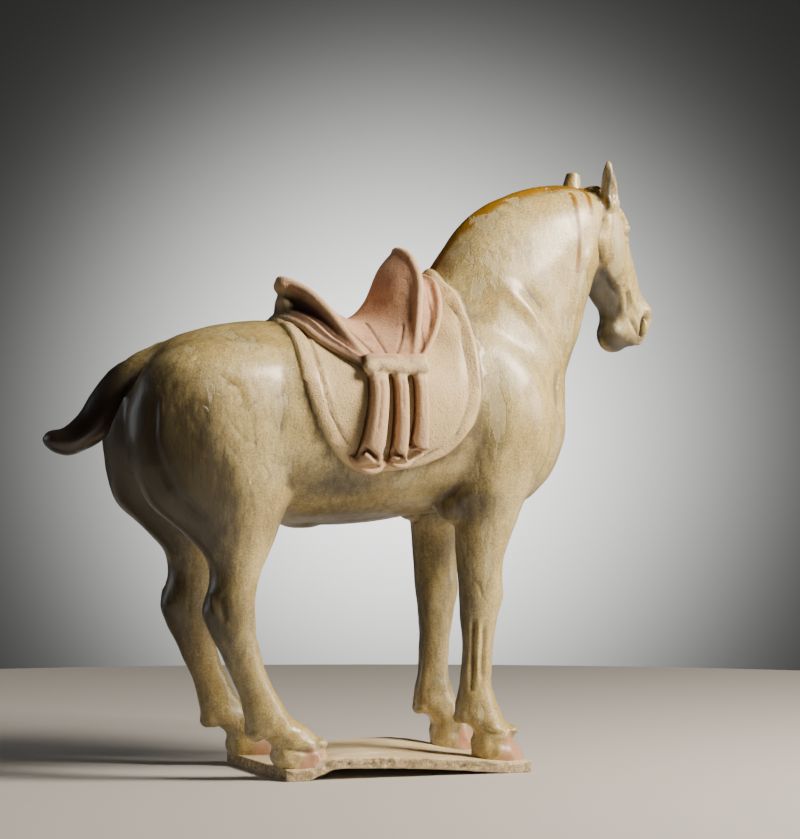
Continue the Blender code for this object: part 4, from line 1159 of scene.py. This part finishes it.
DETAILED = [
    # low and high corner of the boxes round the head, the fore legs and the hind legs
    ((112, -40, 235), (230, 60, 390)), ((30, -60, 0), (90, 60, 130)),
    ((-130, -70, 0), (-40, 70, 130)),
]
thin(horse, TRIANGLE_BUDGET, DETAILED)
thin(saddle, TRIANGLE_BUDGET)
thin(slab, TRIANGLE_BUDGET)

# %% [markdown]
# ## Where glaze, pigment, earth and painted shade lie
#
# Glaze runs thick and amber down from the crest and the ears, burial earth and painted shade lie in
# every hollow, stain and painted shade darken the hindquarter and the belly, and hooves and blanket
# are nearly bare.
# Materials can't know that by themselves, so each vertex gets a few weights from 0 to 1 that the
# shader nodes read as attributes.

# %% Weights on the vertices
def weigh(target, name, values):
    """Store one weight for each vertex."""
    layer = target.data.attributes.new(name, "FLOAT", "POINT")
    layer.data.foreach_set("value", np.clip(values, 0, 1).astype(np.float32))


def rising(values, start, length):
    """A share from 0 at start to 1 a length further on; it falls where the length is negative."""
    return np.clip((values - start) / length, 0, 1)


def earth_and_shade_share(depth, rate, free, most):
    """Earth and painted shade at a depth below the skin: none on the free part, no more than most.
    """
    return np.clip(depth * rate - free, 0, most)


WEIGHT_REACH = 2.6   # radii from a line at which its weight is next to nothing


def near_line(skin, points, radius, place=figure):
    """How near each vertex is to a line, from 1 on it to 0 at about twice the radius."""
    trace = np.array([tuple(place @ Vector(point)) for point in smooth_line(points, 3)])
    chosen, gap = skin.gap_to(trace, WEIGHT_REACH * radius * MM)
    weights = np.zeros(len(skin.places))
    weights[chosen] = np.exp(-(gap / (radius * MM)) ** 2)
    return weights


def hollows(target, skin, rounds):
    """How far each vertex lies below the skin's own average, in millimetres."""
    ends = np.empty(len(target.data.edges) * 2, dtype=np.int64)
    target.data.edges.foreach_get("vertices", ends)
    first, second = ends.reshape(-1, 2).T
    amount = len(skin.places)
    count = np.bincount(first, minlength=amount) + np.bincount(second, minlength=amount)
    mean = skin.places.copy()
    for _ in range(rounds):
        mean = np.column_stack([np.bincount(first, mean[second, axis], minlength=amount)
                                + np.bincount(second, mean[first, axis], minlength=amount)
                                for axis in range(3)]) / count[:, None]
    return np.sum((mean - skin.places) * skin.normals, axis=1) / MM


# %% Amber, tail and hooves of the horse
MANE_ROOT = [(30, 0, 299), (42, 0, 314), (54, 0.5, 328), (68, 1.5, 339)]
AMBER_DRIPS = [
    # points of the head, radius, strength
    ([(-24.5, -7, 349), (-26, -11.4, 345.7), (-28.3, -15.4, 339.4), (-29.6, -18.1, 332.4),
      (-31.2, -20.7, 319.4), (-32.9, -21.7, 308.3), (-34.3, -22.2, 301.4)], 1.2, 1.7),
    ([(-12, -6, 351), (-13, -10.2, 348.9), (-15.9, -15, 344.3), (-18.3, -18.9, 337.1)], 1.3, 1.3),
    ([(-6, -14.3, 350.7), (-5.8, -17.3, 346.3), (-4.8, -18.5, 342)], 1.2, 0.6),
]
TAIL_LINE = [(-146, 0, 242), (-156, 0, 236), (-165, 0, 226), (-173, 0, 214), (-184, 0, 203),
             (-205, 0, 198)]

skin = Clay(horse)
x, y, z = in_figure(skin.places).T
facing_left = skin.normals[:, 1]
amber = np.maximum(0.9 * near_line(skin, MANE_ROOT, 6), 0.95 * near_line(skin, CREST[2:], 8))
for points, radius, share in AMBER_DRIPS:
    amber = np.maximum(amber, share * near_line(skin, points, radius, head_place))
weigh(horse, "amber", amber)
weigh(horse, "tail", 1.9 * near_line(skin, TAIL_LINE, 16) * rising(x, -144, -34))
toe, hoof_top = np.where(x > 0, 54, -74), np.where(x > 0, 23, 18)
weigh(horse, "hoof", rising(z, hoof_top + 8, -16) * rising(x, toe, 9))
print("amber on", int((amber > 0.5).sum()), "vertices")

# %% Earth and painted shade on the horse
BELLY_VENT = [(-50, -12, 148), (-30, -22, 148), (-8, -24, 149), (14, -18, 150)]
BEHIND_JAW = [(-5.3, 18, 342), (-8.3, 20.4, 328), (-11.1, 21.5, 320), (-7.5, 17.5, 311)]
EAR_ROOT = [(-7, 14, 346), (-7, 16, 352)]

# Earth and painted shade, darker the deeper a hollow; also the buttock crease, jaw groove, ear root,
# cracks and vent
fine, broad = hollows(horse, skin, 4), hollows(horse, skin, 60)
on_head = (x > 112) & (z > 235)
earth_and_shade = earth_and_shade_share(fine, np.where(on_head, 3.2, 1.8), 0.12, 0.7) + earth_and_shade_share(broad, 0.17, 0.1, 0.5)
earth_and_shade = np.maximum(earth_and_shade, near_line(skin, BUTTOCK_CREASE, 3.6))
for side in (NEAR, FAR):
    for points, radius, share in ((BEHIND_JAW, 2.2, 0.75), (EAR_ROOT, 2.6, 0.9)):
        near = near_line(skin, mirrored(points, side), radius, head_place)
        earth_and_shade = np.maximum(earth_and_shade, share * near)
for trace in crack_traces:
    earth_and_shade = np.maximum(earth_and_shade, 0.55 * near_line(skin, trace, 0.8, Matrix()))
earth_and_shade = np.maximum(earth_and_shade, near_line(skin, BELLY_VENT, 5))
weigh(horse, "earth_and_shade", earth_and_shade)
print("earth lies deepest", round(float(broad.max()), 1), "mm below the skin")

# %% Stain and painted shade on the horse, and the bare blanket
# Stain and painted shade on the hindquarter: heights, the x behind which it darkens, its strength
STAIN_AND_SHADE_HEIGHTS = [10, 40, 60, 95, 130, 147, 164, 181, 199, 216, 233, 251]
STAIN_AND_SHADE_EDGES = [-84, -94, -102, -101, -109, -104, -101, -108, -114, -119, -126, -138]
STAIN_AND_SHADE_SHARES = [0.5, 0.7, 0.8, 0.95, 1.0, 1.05, 1.05, 1.05, 1.0, 0.9, 0.75, 0.5]
STAIN_AND_SHADE_FADE = 7.5
STAIN_AND_SHADE_SPOTS = [
    # figure x and z of a place darkened by stain and painted shade, its reach and its strength
    (36, 90, 11, 66, 0.8), (-30, 150, 60, 16, 0.9), (34, 160, 26, 16, 0.8),
    (122, 246, 10, 18, 0.5), (-100, 190, 30, 48, 0.3), (-62, 172, 14, 24, 0.5),
    (-42, 172, 34, 13, 0.75), (44, 196, 13, 24, 0.6),
]
STAIN_AND_SHADE_OF_HEAD = [
    # points of the head, radius, strength of stain and painted shade: jaw, chin, ear's back, nostril
    ([(-4, -7, 298), (1, -6, 292), (6, -5, 286), (11, -4, 279)], 9.5, 1.9),
    ([(11, -3, 267), (16, -5, 261), (25, -5, 257), (31, -3, 261)], 7, 1.3),
    ([(-4, -18, 342), (-3, -19, 352), (0, -19, 364)], 4, 0.9),
    ([(37.4, -8.5, 274.5), (35.2, -8, 269), (36.4, -7, 262)], 3.0, 1.3),
]

# Painted shade with some stain behind the edge, weaker on far-facing sides; also the far fore leg's
# inner side
past_edge = np.clip((x - np.interp(z, STAIN_AND_SHADE_HEIGHTS, STAIN_AND_SHADE_EDGES)) / STAIN_AND_SHADE_FADE, -20, 20)
stain_and_painted_shade = np.interp(z, STAIN_AND_SHADE_HEIGHTS, STAIN_AND_SHADE_SHARES) / (1 + np.exp(past_edge))
stain_and_painted_shade *= np.clip(0.85 - 0.5 * facing_left, 0.35, 1)
far_fore_leg = rising(y, 8, 4) * rising(x, 24, 6) * rising(z, 150, -12)
stain_and_painted_shade = np.maximum(stain_and_painted_shade, 0.5 * far_fore_leg * rising(facing_left, 0, -1))
for at_x, at_z, reach_x, reach_z, share in STAIN_AND_SHADE_SPOTS:
    spot = np.exp(-((x - at_x) / reach_x) ** 2 - ((z - at_z) / reach_z) ** 2)
    stain_and_painted_shade = np.maximum(stain_and_painted_shade, share * spot)
for points, radius, share in STAIN_AND_SHADE_OF_HEAD:
    for side in (NEAR, FAR):
        near = near_line(skin, mirrored(points, side), radius, head_place)
        stain_and_painted_shade = np.maximum(stain_and_painted_shade, share * near)
weigh(horse, "stain_and_painted_shade", stain_and_painted_shade)
weigh(horse, "cloth", inside(skin, BLANKET_OUTLINE, 3.0))
print("stained:", int((stain_and_painted_shade > 0.5).sum()), "of", len(stain_and_painted_shade), "vertices")

# %% Earth and painted shade on the saddle
PLEATED = ((-42, 186), (12, 236))   # low and high corner in figure x and z
BEHIND_CANTLE = [
    # strength, line, radius of the painted shade on the rear face of the cantle
    (1.4, halfway(CANTLE_RIM, CANTLE_BACK, 0.6), 6.5), (1.4, CANTLE_BACK, 6.5),
    (1.4, halfway(CANTLE_BACK, PAD_LINE, 0.5), 6.5), (0.9, halfway(CANTLE_BACK, PAD_LINE, 0.85), 4),
]

skin = Clay(saddle)
x, y, z = in_figure(skin.places).T
fine, broad = hollows(saddle, skin, 4), hollows(saddle, skin, 50)
earth_and_shade = earth_and_shade_share(fine, 2.2, 0.05, 0.5) + earth_and_shade_share(broad, 0.3, 0.3, 0.4)
low, high = PLEATED
pleated = (x > low[0]) & (x < high[0]) & (z > low[1]) & (z < high[1])
# Painted shade on the sides of the pleats and in the gaps between them
earth_and_shade = np.maximum(earth_and_shade, pleated * np.clip(0.82 - np.abs(skin.normals[:, 1]) * 1.7, 0, 0.95))
# Painted shade on the cantle's rear face, in the arch under each pleat, by the pommel and in the
# seat's creases
facing_back = np.clip(1.0 - 2.5 * skin.normals[:, 0], 0, 1)
for side in (NEAR, FAR):
    for points in HEM_FOLDS:
        earth_and_shade = np.maximum(earth_and_shade, near_line(skin, mirrored(points, side), 1.6))
    behind = facing_back * (1 - near_line(skin, mirrored(CANTLE_RIM, side), 4))
    for share, line, radius in BEHIND_CANTLE:
        earth_and_shade = np.maximum(earth_and_shade, share * behind * near_line(skin, mirrored(line, side), radius))
    earth_and_shade = np.maximum(earth_and_shade, 0.35 * near_line(skin, mirrored(POMMEL_CREASE, side), 3))
    for points, _, _ in SEAT_CREASES:
        earth_and_shade = np.maximum(earth_and_shade, 0.8 * near_line(skin, mirrored(points, side), 1.1))
weigh(saddle, "earth_and_shade", earth_and_shade)
print("earth on", int((earth_and_shade > 0.5).sum()), "vertices of the saddle")

# %% Rubbed edges, the bare prop under the cantle and the strap's band
PROP_CENTRE, PROP_RADII = np.array([-61, 0, 273]), np.array([9, 15, 12])
BAND_ENDS, BAND_HALF_WIDTH, BAND_INNER_Y = (-36, 18), 7.5, 50

weigh(saddle, "wear", np.clip(-fine * 4 - 0.1, 0, 1) + np.clip(-broad - 0.3, 0, 1) * 0.5)
from_prop = np.linalg.norm((in_figure(skin.places) - PROP_CENTRE) / PROP_RADII, axis=1)
weigh(saddle, "bare", np.clip(1.5 - from_prop, 0, 1) * 3)
along_band = (abs(y) > BAND_INNER_Y) & (x > BAND_ENDS[0]) & (x < BAND_ENDS[1])
weigh(saddle, "band", np.where(along_band, rising(abs(z - STRAP_Z), BAND_HALF_WIDTH,
                                                  -BAND_HALF_WIDTH) * 3, 0))
print("band on", int(along_band.sum()), "vertices at most")

# %% Earth and painted shade in the slab's hollows, and its broken sides
skin = Clay(slab)
fine, broad = hollows(slab, skin, 4), hollows(slab, skin, 30)
earth_and_shade = earth_and_shade_share(fine, 2, 0, 0.6) + earth_and_shade_share(broad, 1, 0.2, 0.6)
weigh(slab, "earth_and_shade", np.maximum(earth_and_shade, near_line(skin, SLAB_CRACK, 1.4)))
weigh(slab, "side", np.clip(1.1 - np.abs(skin.normals[:, 2]) * 1.3, 0, 1))
print("slab weighed:", len(skin.places), "vertices")

# %% [markdown]
# ## Materials
#
# A finish is built from nodes, and each pattern's scale comes from a size on the real figure. The
# clay's own grain, a third of a millimetre, is too fine to show, so it is drawn at about one. One
# function turns a colour's hex value to linear light, and one adds a node with its settings and
# its links, so that each line below reads as one step of the recipe.

# %% Colours and nodes
def paint(hex_value):
    """An sRGB hex colour as linear red, green, blue and alpha."""
    channels = [int(hex_value[i:i + 2], 16) / 255 for i in (1, 3, 5)]
    linear = [c / 12.92 if c <= 0.04045 else ((c + 0.055) / 1.055) ** 2.4 for c in channels]
    return (*linear, 1.0)


def feed(tree, node, inputs):
    """Link each input that is given another node's output, and set the others."""
    for key, value in inputs.items():
        if isinstance(value, bpy.types.NodeSocket):
            tree.links.new(value, node.inputs[key])
        else:
            node.inputs[key].default_value = value


def add(tree, kind, inputs=None, out=0, **settings):
    """Add a node with its settings and inputs, and give one of its outputs."""
    made = tree.nodes.new(kind)
    for name, value in settings.items():
        setattr(made, name, value)
    feed(tree, made, inputs or {})
    return made.outputs[out]


def per_mm(size):
    """The texture scale that makes a feature of this size in millimetres."""
    return 1 / (size * MM)


def overlaid(tree, colour, layers):
    """Colours laid over one another, each where its pattern rises from low to high."""
    for pattern, low, high, most, hex_value in layers:
        share = add(tree, "ShaderNodeMapRange", {"Value": pattern, 1: low, 2: high, 4: most},
                    interpolation_type="SMOOTHSTEP")
        colour = add(tree, "ShaderNodeMix", {0: share, 6: colour, 7: paint(hex_value)}, out=2,
                     data_type="RGBA")
    return colour


def combined(tree, value, steps):
    """A value taken through arithmetic steps, such as MULTIPLY or MAXIMUM with another one."""
    for operation, other in steps:
        value = add(tree, "ShaderNodeMath", {0: value, 1: other}, operation=operation)
    return value


def finish(material, colour, rough, height, bump_mm, settings):
    """The material's shader, fed with its colour, roughness and relief."""
    tree = material.node_tree
    bump = add(tree, "ShaderNodeBump", {"Height": height, "Distance": bump_mm * MM,
                                        "Strength": 1.0})
    feed(tree, tree.nodes["Principled BSDF"], {"Base Color": colour, "Roughness": rough,
                                               "Normal": bump, **settings})


# %% [markdown]
# ### Straw lead glaze
#
# A lead glaze over buff earthenware: thin, glassy and a little green in itself, straw yellow on
# the clay, and amber where it ran and gathered. It streaks downwards in a mottle of straw and
# olive, has a few dark specks, and has flaked in patches that leave tiny ledges. Its coat is worn
# to a soft gloss. Burial earth lies in what is left. Its hollows and creases are darkened with earth
# and painted shade, and its hindquarter, belly and jaw with stain and painted shade.

# %% Patterns of the glaze
glaze = bpy.data.materials.new("straw_lead_glaze")
glaze.use_nodes = True
tree = glaze.node_tree
place = add(tree, "ShaderNodeTexCoord", out="Object")
run_down = add(tree, "ShaderNodeMapping", {"Vector": place, "Scale": (1, 1, 0.3)})
amber, tail, hoof, earth_and_shade, stain_and_painted_shade, cloth = [
    add(tree, "ShaderNodeAttribute", out="Fac", attribute_name=name)
    for name in ("amber", "tail", "hoof", "earth_and_shade", "stain_and_painted_shade", "cloth")]
streak = add(tree, "ShaderNodeTexNoise", {"Vector": run_down, "Scale": per_mm(4), "Detail": 6,
                                          "Roughness": 0.62})
patch = add(tree, "ShaderNodeTexNoise", {"Vector": run_down, "Scale": per_mm(17), "Detail": 6,
                                         "Roughness": 0.62})
cloud = add(tree, "ShaderNodeTexNoise", {"Vector": place, "Scale": per_mm(42), "Detail": 3})
grain = add(tree, "ShaderNodeTexNoise", {"Vector": place, "Scale": per_mm(1.1), "Detail": 3})
dots = add(tree, "ShaderNodeTexNoise", {"Vector": place, "Scale": per_mm(2.4), "Detail": 2})
flake = add(tree, "ShaderNodeMapRange", {"Value": patch, 1: 0.585, 2: 0.6})
print("glaze patterns:", len(tree.nodes), "nodes so far")

# %% Colours of the glaze
runny = combined(tree, streak, [("MULTIPLY", 1.1), ("ADD", 0.3), ("MULTIPLY", amber)])
# caked: earth and painted shade in hollows; shaded: stain and painted shade on haunch, belly and jaw
caked = combined(tree, streak, [("ADD", 0.35), ("MULTIPLY", earth_and_shade)])
shaded = combined(tree, streak, [("ADD", 0.55), ("MULTIPLY", stain_and_painted_shade)])
bare_hoof = combined(tree, patch, [("SUBTRACT", 0.5), ("ADD", hoof)])
unflaked = combined(tree, tail, [("ADD", stain_and_painted_shade), ("ADD", cloth), ("MINIMUM", 1.0)])
flake = combined(tree, flake, [("SUBTRACT", unflaked), ("MAXIMUM", 0.0)])
colour = overlaid(tree, paint("#CCB77C"), [
    # pattern, from, to, most, colour
    (cloud, 0.36, 0.66, 1.0, "#B39B5C"),
    (streak, 0.42, 0.70, 0.4, "#8F7A45"),
    (patch, 0.46, 0.68, 0.75, "#776C3E"),
    (grain, 0.48, 0.70, 0.55, "#7A6434"),
    (grain, 0.46, 0.32, 0.4, "#E4D6AC"),
    # stain and painted shade
    (shaded, 0.0, 1.0, 0.95, "#332C1C"),
    (runny, 0.05, 0.4, 1.0, "#8A6200"),
    (runny, 0.6, 1.0, 0.6, "#573B0A"),
    (cloth, 0.0, 1.0, 1.0, "#DCC08C"),
    (combined(tree, patch, [("MULTIPLY", cloth)]), 0.4, 0.66, 0.8, "#C8AD80"),
    (combined(tree, grain, [("MULTIPLY", cloth)]), 0.52, 0.7, 0.6, "#A88C60"),
    (bare_hoof, 0.38, 0.62, 0.9, "#AE8061"),
    (tail, 0.0, 1.0, 1.0, "#2B2016"),
    (combined(tree, streak, [("MULTIPLY", tail)]), 0.48, 0.72, 0.8, "#33261A"),
    # earth and painted shade in the hollows and creases
    (caked, 0.0, 1.0, 1.0, "#46351F"),
    (flake, 0.0, 1.0, 0.4, "#D8C79C"),
    (dots, 0.74, 0.77, 0.8, "#3A2E1E"),
])
print("colours of the glaze:", len(tree.nodes), "nodes so far")

# %% Gloss and relief of the glaze
GLOSSIEST, DULLEST, EARTHY = 0.32, 0.5, 0.8
CLOTH_GRIT, GLAZE_GRIT, FLAKE_DEPTH = 1.7, 0.3, 0.5
COAT, COAT_LOST_ON_AMBER = 0.45, 0.42
rough = add(tree, "ShaderNodeMapRange", {"Value": patch, 1: 0.35, 2: 0.65, 3: GLOSSIEST,
                                         4: DULLEST})
rough = combined(tree, rough, [("MAXIMUM", cloth), ("MAXIMUM", hoof), ("MAXIMUM", earth_and_shade),
                               ("MINIMUM", EARTHY)])
gritty = combined(tree, cloth, [("MULTIPLY", CLOTH_GRIT), ("ADD", GLAZE_GRIT)])
relief = combined(tree, grain, [("MULTIPLY", gritty), ("ADD", streak)])
relief = add(tree, "ShaderNodeMath", {0: flake, 1: -FLAKE_DEPTH, 2: relief},
             operation="MULTIPLY_ADD")
clear = combined(tree, amber, [("MULTIPLY", -COAT_LOST_ON_AMBER), ("ADD", COAT)])
finish(glaze, colour, rough, relief, 0.32, {"IOR": 1.55, "Coat Weight": clear,
                                            "Coat Roughness": 0.28})
print("straw lead glaze:", len(tree.nodes), "nodes")

# %% [markdown]
# ### Pink pigment on bare clay
#
# The saddle was left unglazed and painted cold with a pink earth pigment. It is dull and chalky,
# rubbed to pale clay on the high edges and darkened red-brown with earth and painted shade in the
# folds, between the pleats and on the rear face of the cantle.

# %% Pink pigmented clay
pink = bpy.data.materials.new("pink_pigmented_clay")
pink.use_nodes = True
tree = pink.node_tree
place = add(tree, "ShaderNodeTexCoord", out="Object")
run_down = add(tree, "ShaderNodeMapping", {"Vector": place, "Scale": (1, 1, 0.2)})
earth_and_shade, wear, bare, band = [add(tree, "ShaderNodeAttribute", out="Fac", attribute_name=name)
                           for name in ("earth_and_shade", "wear", "bare", "band")]
brushed = add(tree, "ShaderNodeTexNoise", {"Vector": run_down, "Scale": per_mm(2.4), "Detail": 6,
                                           "Roughness": 0.68})
cloud = add(tree, "ShaderNodeTexNoise", {"Vector": place, "Scale": per_mm(16), "Detail": 4})
grain = add(tree, "ShaderNodeTexNoise", {"Vector": place, "Scale": per_mm(0.9), "Detail": 3})
colour = overlaid(tree, paint("#D0A684"), [
    # pattern, from, to, most, colour
    (cloud, 0.35, 0.65, 1.0, "#BF9274"),
    (brushed, 0.48, 0.68, 0.6, "#D3B08A"),
    (brushed, 0.44, 0.32, 0.6, "#96644A"),
    (grain, 0.50, 0.72, 0.5, "#7A4E3A"),
    (wear, 0.1, 1.0, 0.55, "#D8BC94"),
    (band, 0.0, 1.0, 0.7, "#DECAA2"),
    (combined(tree, grain, [("MULTIPLY", band)]), 0.5, 0.62, 0.6, "#A98E66"),
    (bare, 0.0, 1.0, 1.0, "#CDBC98"),
    # earth and painted shade in the folds, between the pleats and behind the cantle
    (earth_and_shade, 0.05, 0.9, 0.95, "#422C20"),
])
rough = add(tree, "ShaderNodeMapRange", {"Value": cloud, 1: 0.3, 2: 0.7, 3: 0.82, 4: 0.95})
relief = combined(tree, brushed, [("MULTIPLY", 0.8), ("ADD", grain)])
finish(pink, colour, rough, relief, 0.45, {"Specular IOR Level": 0.25})
print("pink pigmented clay:", len(tree.nodes), "nodes")

# %% [markdown]
# ### Bare buff earthenware
#
# The slab is the same clay without glaze or paint: buff, dry and gritty, with earth caked on its
# broken edges, and earth and painted shade in its hollows and its crack.

# %% Bare buff earthenware
buff = bpy.data.materials.new("bare_buff_earthenware")
buff.use_nodes = True
tree = buff.node_tree
place = add(tree, "ShaderNodeTexCoord", out="Object")
earth_and_shade, side_face = [add(tree, "ShaderNodeAttribute", out="Fac", attribute_name=name)
                    for name in ("earth_and_shade", "side")]
cloud = add(tree, "ShaderNodeTexNoise", {"Vector": place, "Scale": per_mm(22), "Detail": 5})
crust = add(tree, "ShaderNodeTexNoise", {"Vector": place, "Scale": per_mm(4), "Detail": 6,
                                         "Roughness": 0.7})
grain = add(tree, "ShaderNodeTexNoise", {"Vector": place, "Scale": per_mm(1.0), "Detail": 3})
caked = combined(tree, crust, [("MULTIPLY", side_face)])
colour = overlaid(tree, paint("#E2CEA8"), [
    # pattern, from, to, most, colour
    (cloud, 0.35, 0.68, 1.0, "#CFB990"),
    (grain, 0.45, 0.75, 0.35, "#8F7A5C"),
    (caked, 0.25, 0.6, 0.7, "#857053"),
    (caked, 0.54, 0.7, 0.4, "#43341F"),
    # earth and painted shade in the hollows and the crack
    (earth_and_shade, 0.0, 1.0, 1.0, "#4A3C2B"),
])
rough = add(tree, "ShaderNodeMapRange", {"Value": cloud, 1: 0.3, 2: 0.7, 3: 0.85, 4: 0.98})
relief = combined(tree, crust, [("MULTIPLY", 1.5), ("ADD", grain)])
finish(buff, colour, rough, relief, 0.6, {"Specular IOR Level": 0.25})
print("bare buff earthenware:", len(tree.nodes), "nodes")

# %% Materials on the pieces
for piece, material in ((horse, glaze), (saddle, pink), (slab, buff)):
    piece.data.materials.clear()
    piece.data.materials.append(material)
    print(piece.name, "wears", material.name)

# %% [markdown]
# ## Floor and light
#
# The floor is plain and pale. A warm key light stands high in front of the near flank, a larger
# soft one in front of the horse lights the chest and the face, and a weak cool one behind draws
# the edges. The surround is dim, with one soft pool of light behind the horse, so that the pale
# glaze stands out from it.

# %% Floor
FLOOR_RADIUS = 0.9
floor_form = bmesh.new()
bmesh.ops.create_circle(floor_form, cap_ends=True, segments=96, radius=FLOOR_RADIUS)
floor = to_object(floor_form, "floor")
plain = bpy.data.materials.new("pale_floor")
plain.use_nodes = True
feed(plain.node_tree, plain.node_tree.nodes["Principled BSDF"],
     {"Base Color": paint("#BDBBB7"), "Roughness": 0.7})
floor.data.materials.append(plain)
print("floor radius", FLOOR_RADIUS, "m")

# %% Lights
LIGHTS = [
    # name, place, aim, size, power in watts, colour
    ("key", (0.67, -0.53, 0.84), (0, 0, 0.18), 0.36, 30.0, "#FFF2E0"),
    ("front", (1.90, -0.80, 0.62), (0, 0, 0.20), 0.60, 16.0, "#FFF8F0"),
    ("edge", (-1.50, 0.90, 0.60), (0, 0, 0.18), 0.90, 3.5, "#F2F5FF"),
]
for name, spot, aim, size, power, tint in LIGHTS:
    data = bpy.data.lights.new(name, "AREA")
    data.size = size
    data.energy = power
    data.color = paint(tint)[:3]
    lamp = bpy.data.objects.new(name, data)
    lamp.location = spot
    lamp.rotation_euler = (Vector(aim) - Vector(spot)).to_track_quat("-Z", "Y").to_euler()
    lamp.visible_camera = False
    bpy.context.scene.collection.objects.link(lamp)
print("lights:", ", ".join(row[0] for row in LIGHTS))

# %% A dim surround with one soft pool of light behind the horse
BEHIND = (0.3351, 0.9421, -0.0044)
POOL_TIGHTNESS, POOL_STRENGTH, SURROUND_STRENGTH = 460.0, 3.5, 0.035
surround = bpy.data.worlds.new("surround")
surround.use_nodes = True
tree = surround.node_tree
looking = add(tree, "ShaderNodeTexCoord", out="Generated")
facing = add(tree, "ShaderNodeVectorMath", {0: looking, 1: BEHIND}, out="Value",
             operation="DOT_PRODUCT")
pool = combined(tree, facing, [("MAXIMUM", 0.0), ("POWER", POOL_TIGHTNESS),
                               ("MULTIPLY", POOL_STRENGTH), ("ADD", SURROUND_STRENGTH)])
feed(tree, tree.nodes["Background"], {"Strength": pool, "Color": paint("#E4E4E2")})
bpy.context.scene.world = surround
print("surround:", len(tree.nodes), "nodes")

# %% [markdown]
# ## The pieces told to the frame
#
# Every piece belongs to the one fired body, so all three ride on the root and stand for the solid.

# %% Frame and the end
for piece, slot in ((horse, "straw_glaze"), (saddle, "pink_saddle_clay"), (slab, "bare_clay")):
    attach(piece, "root")
    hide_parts("glazed_horse")
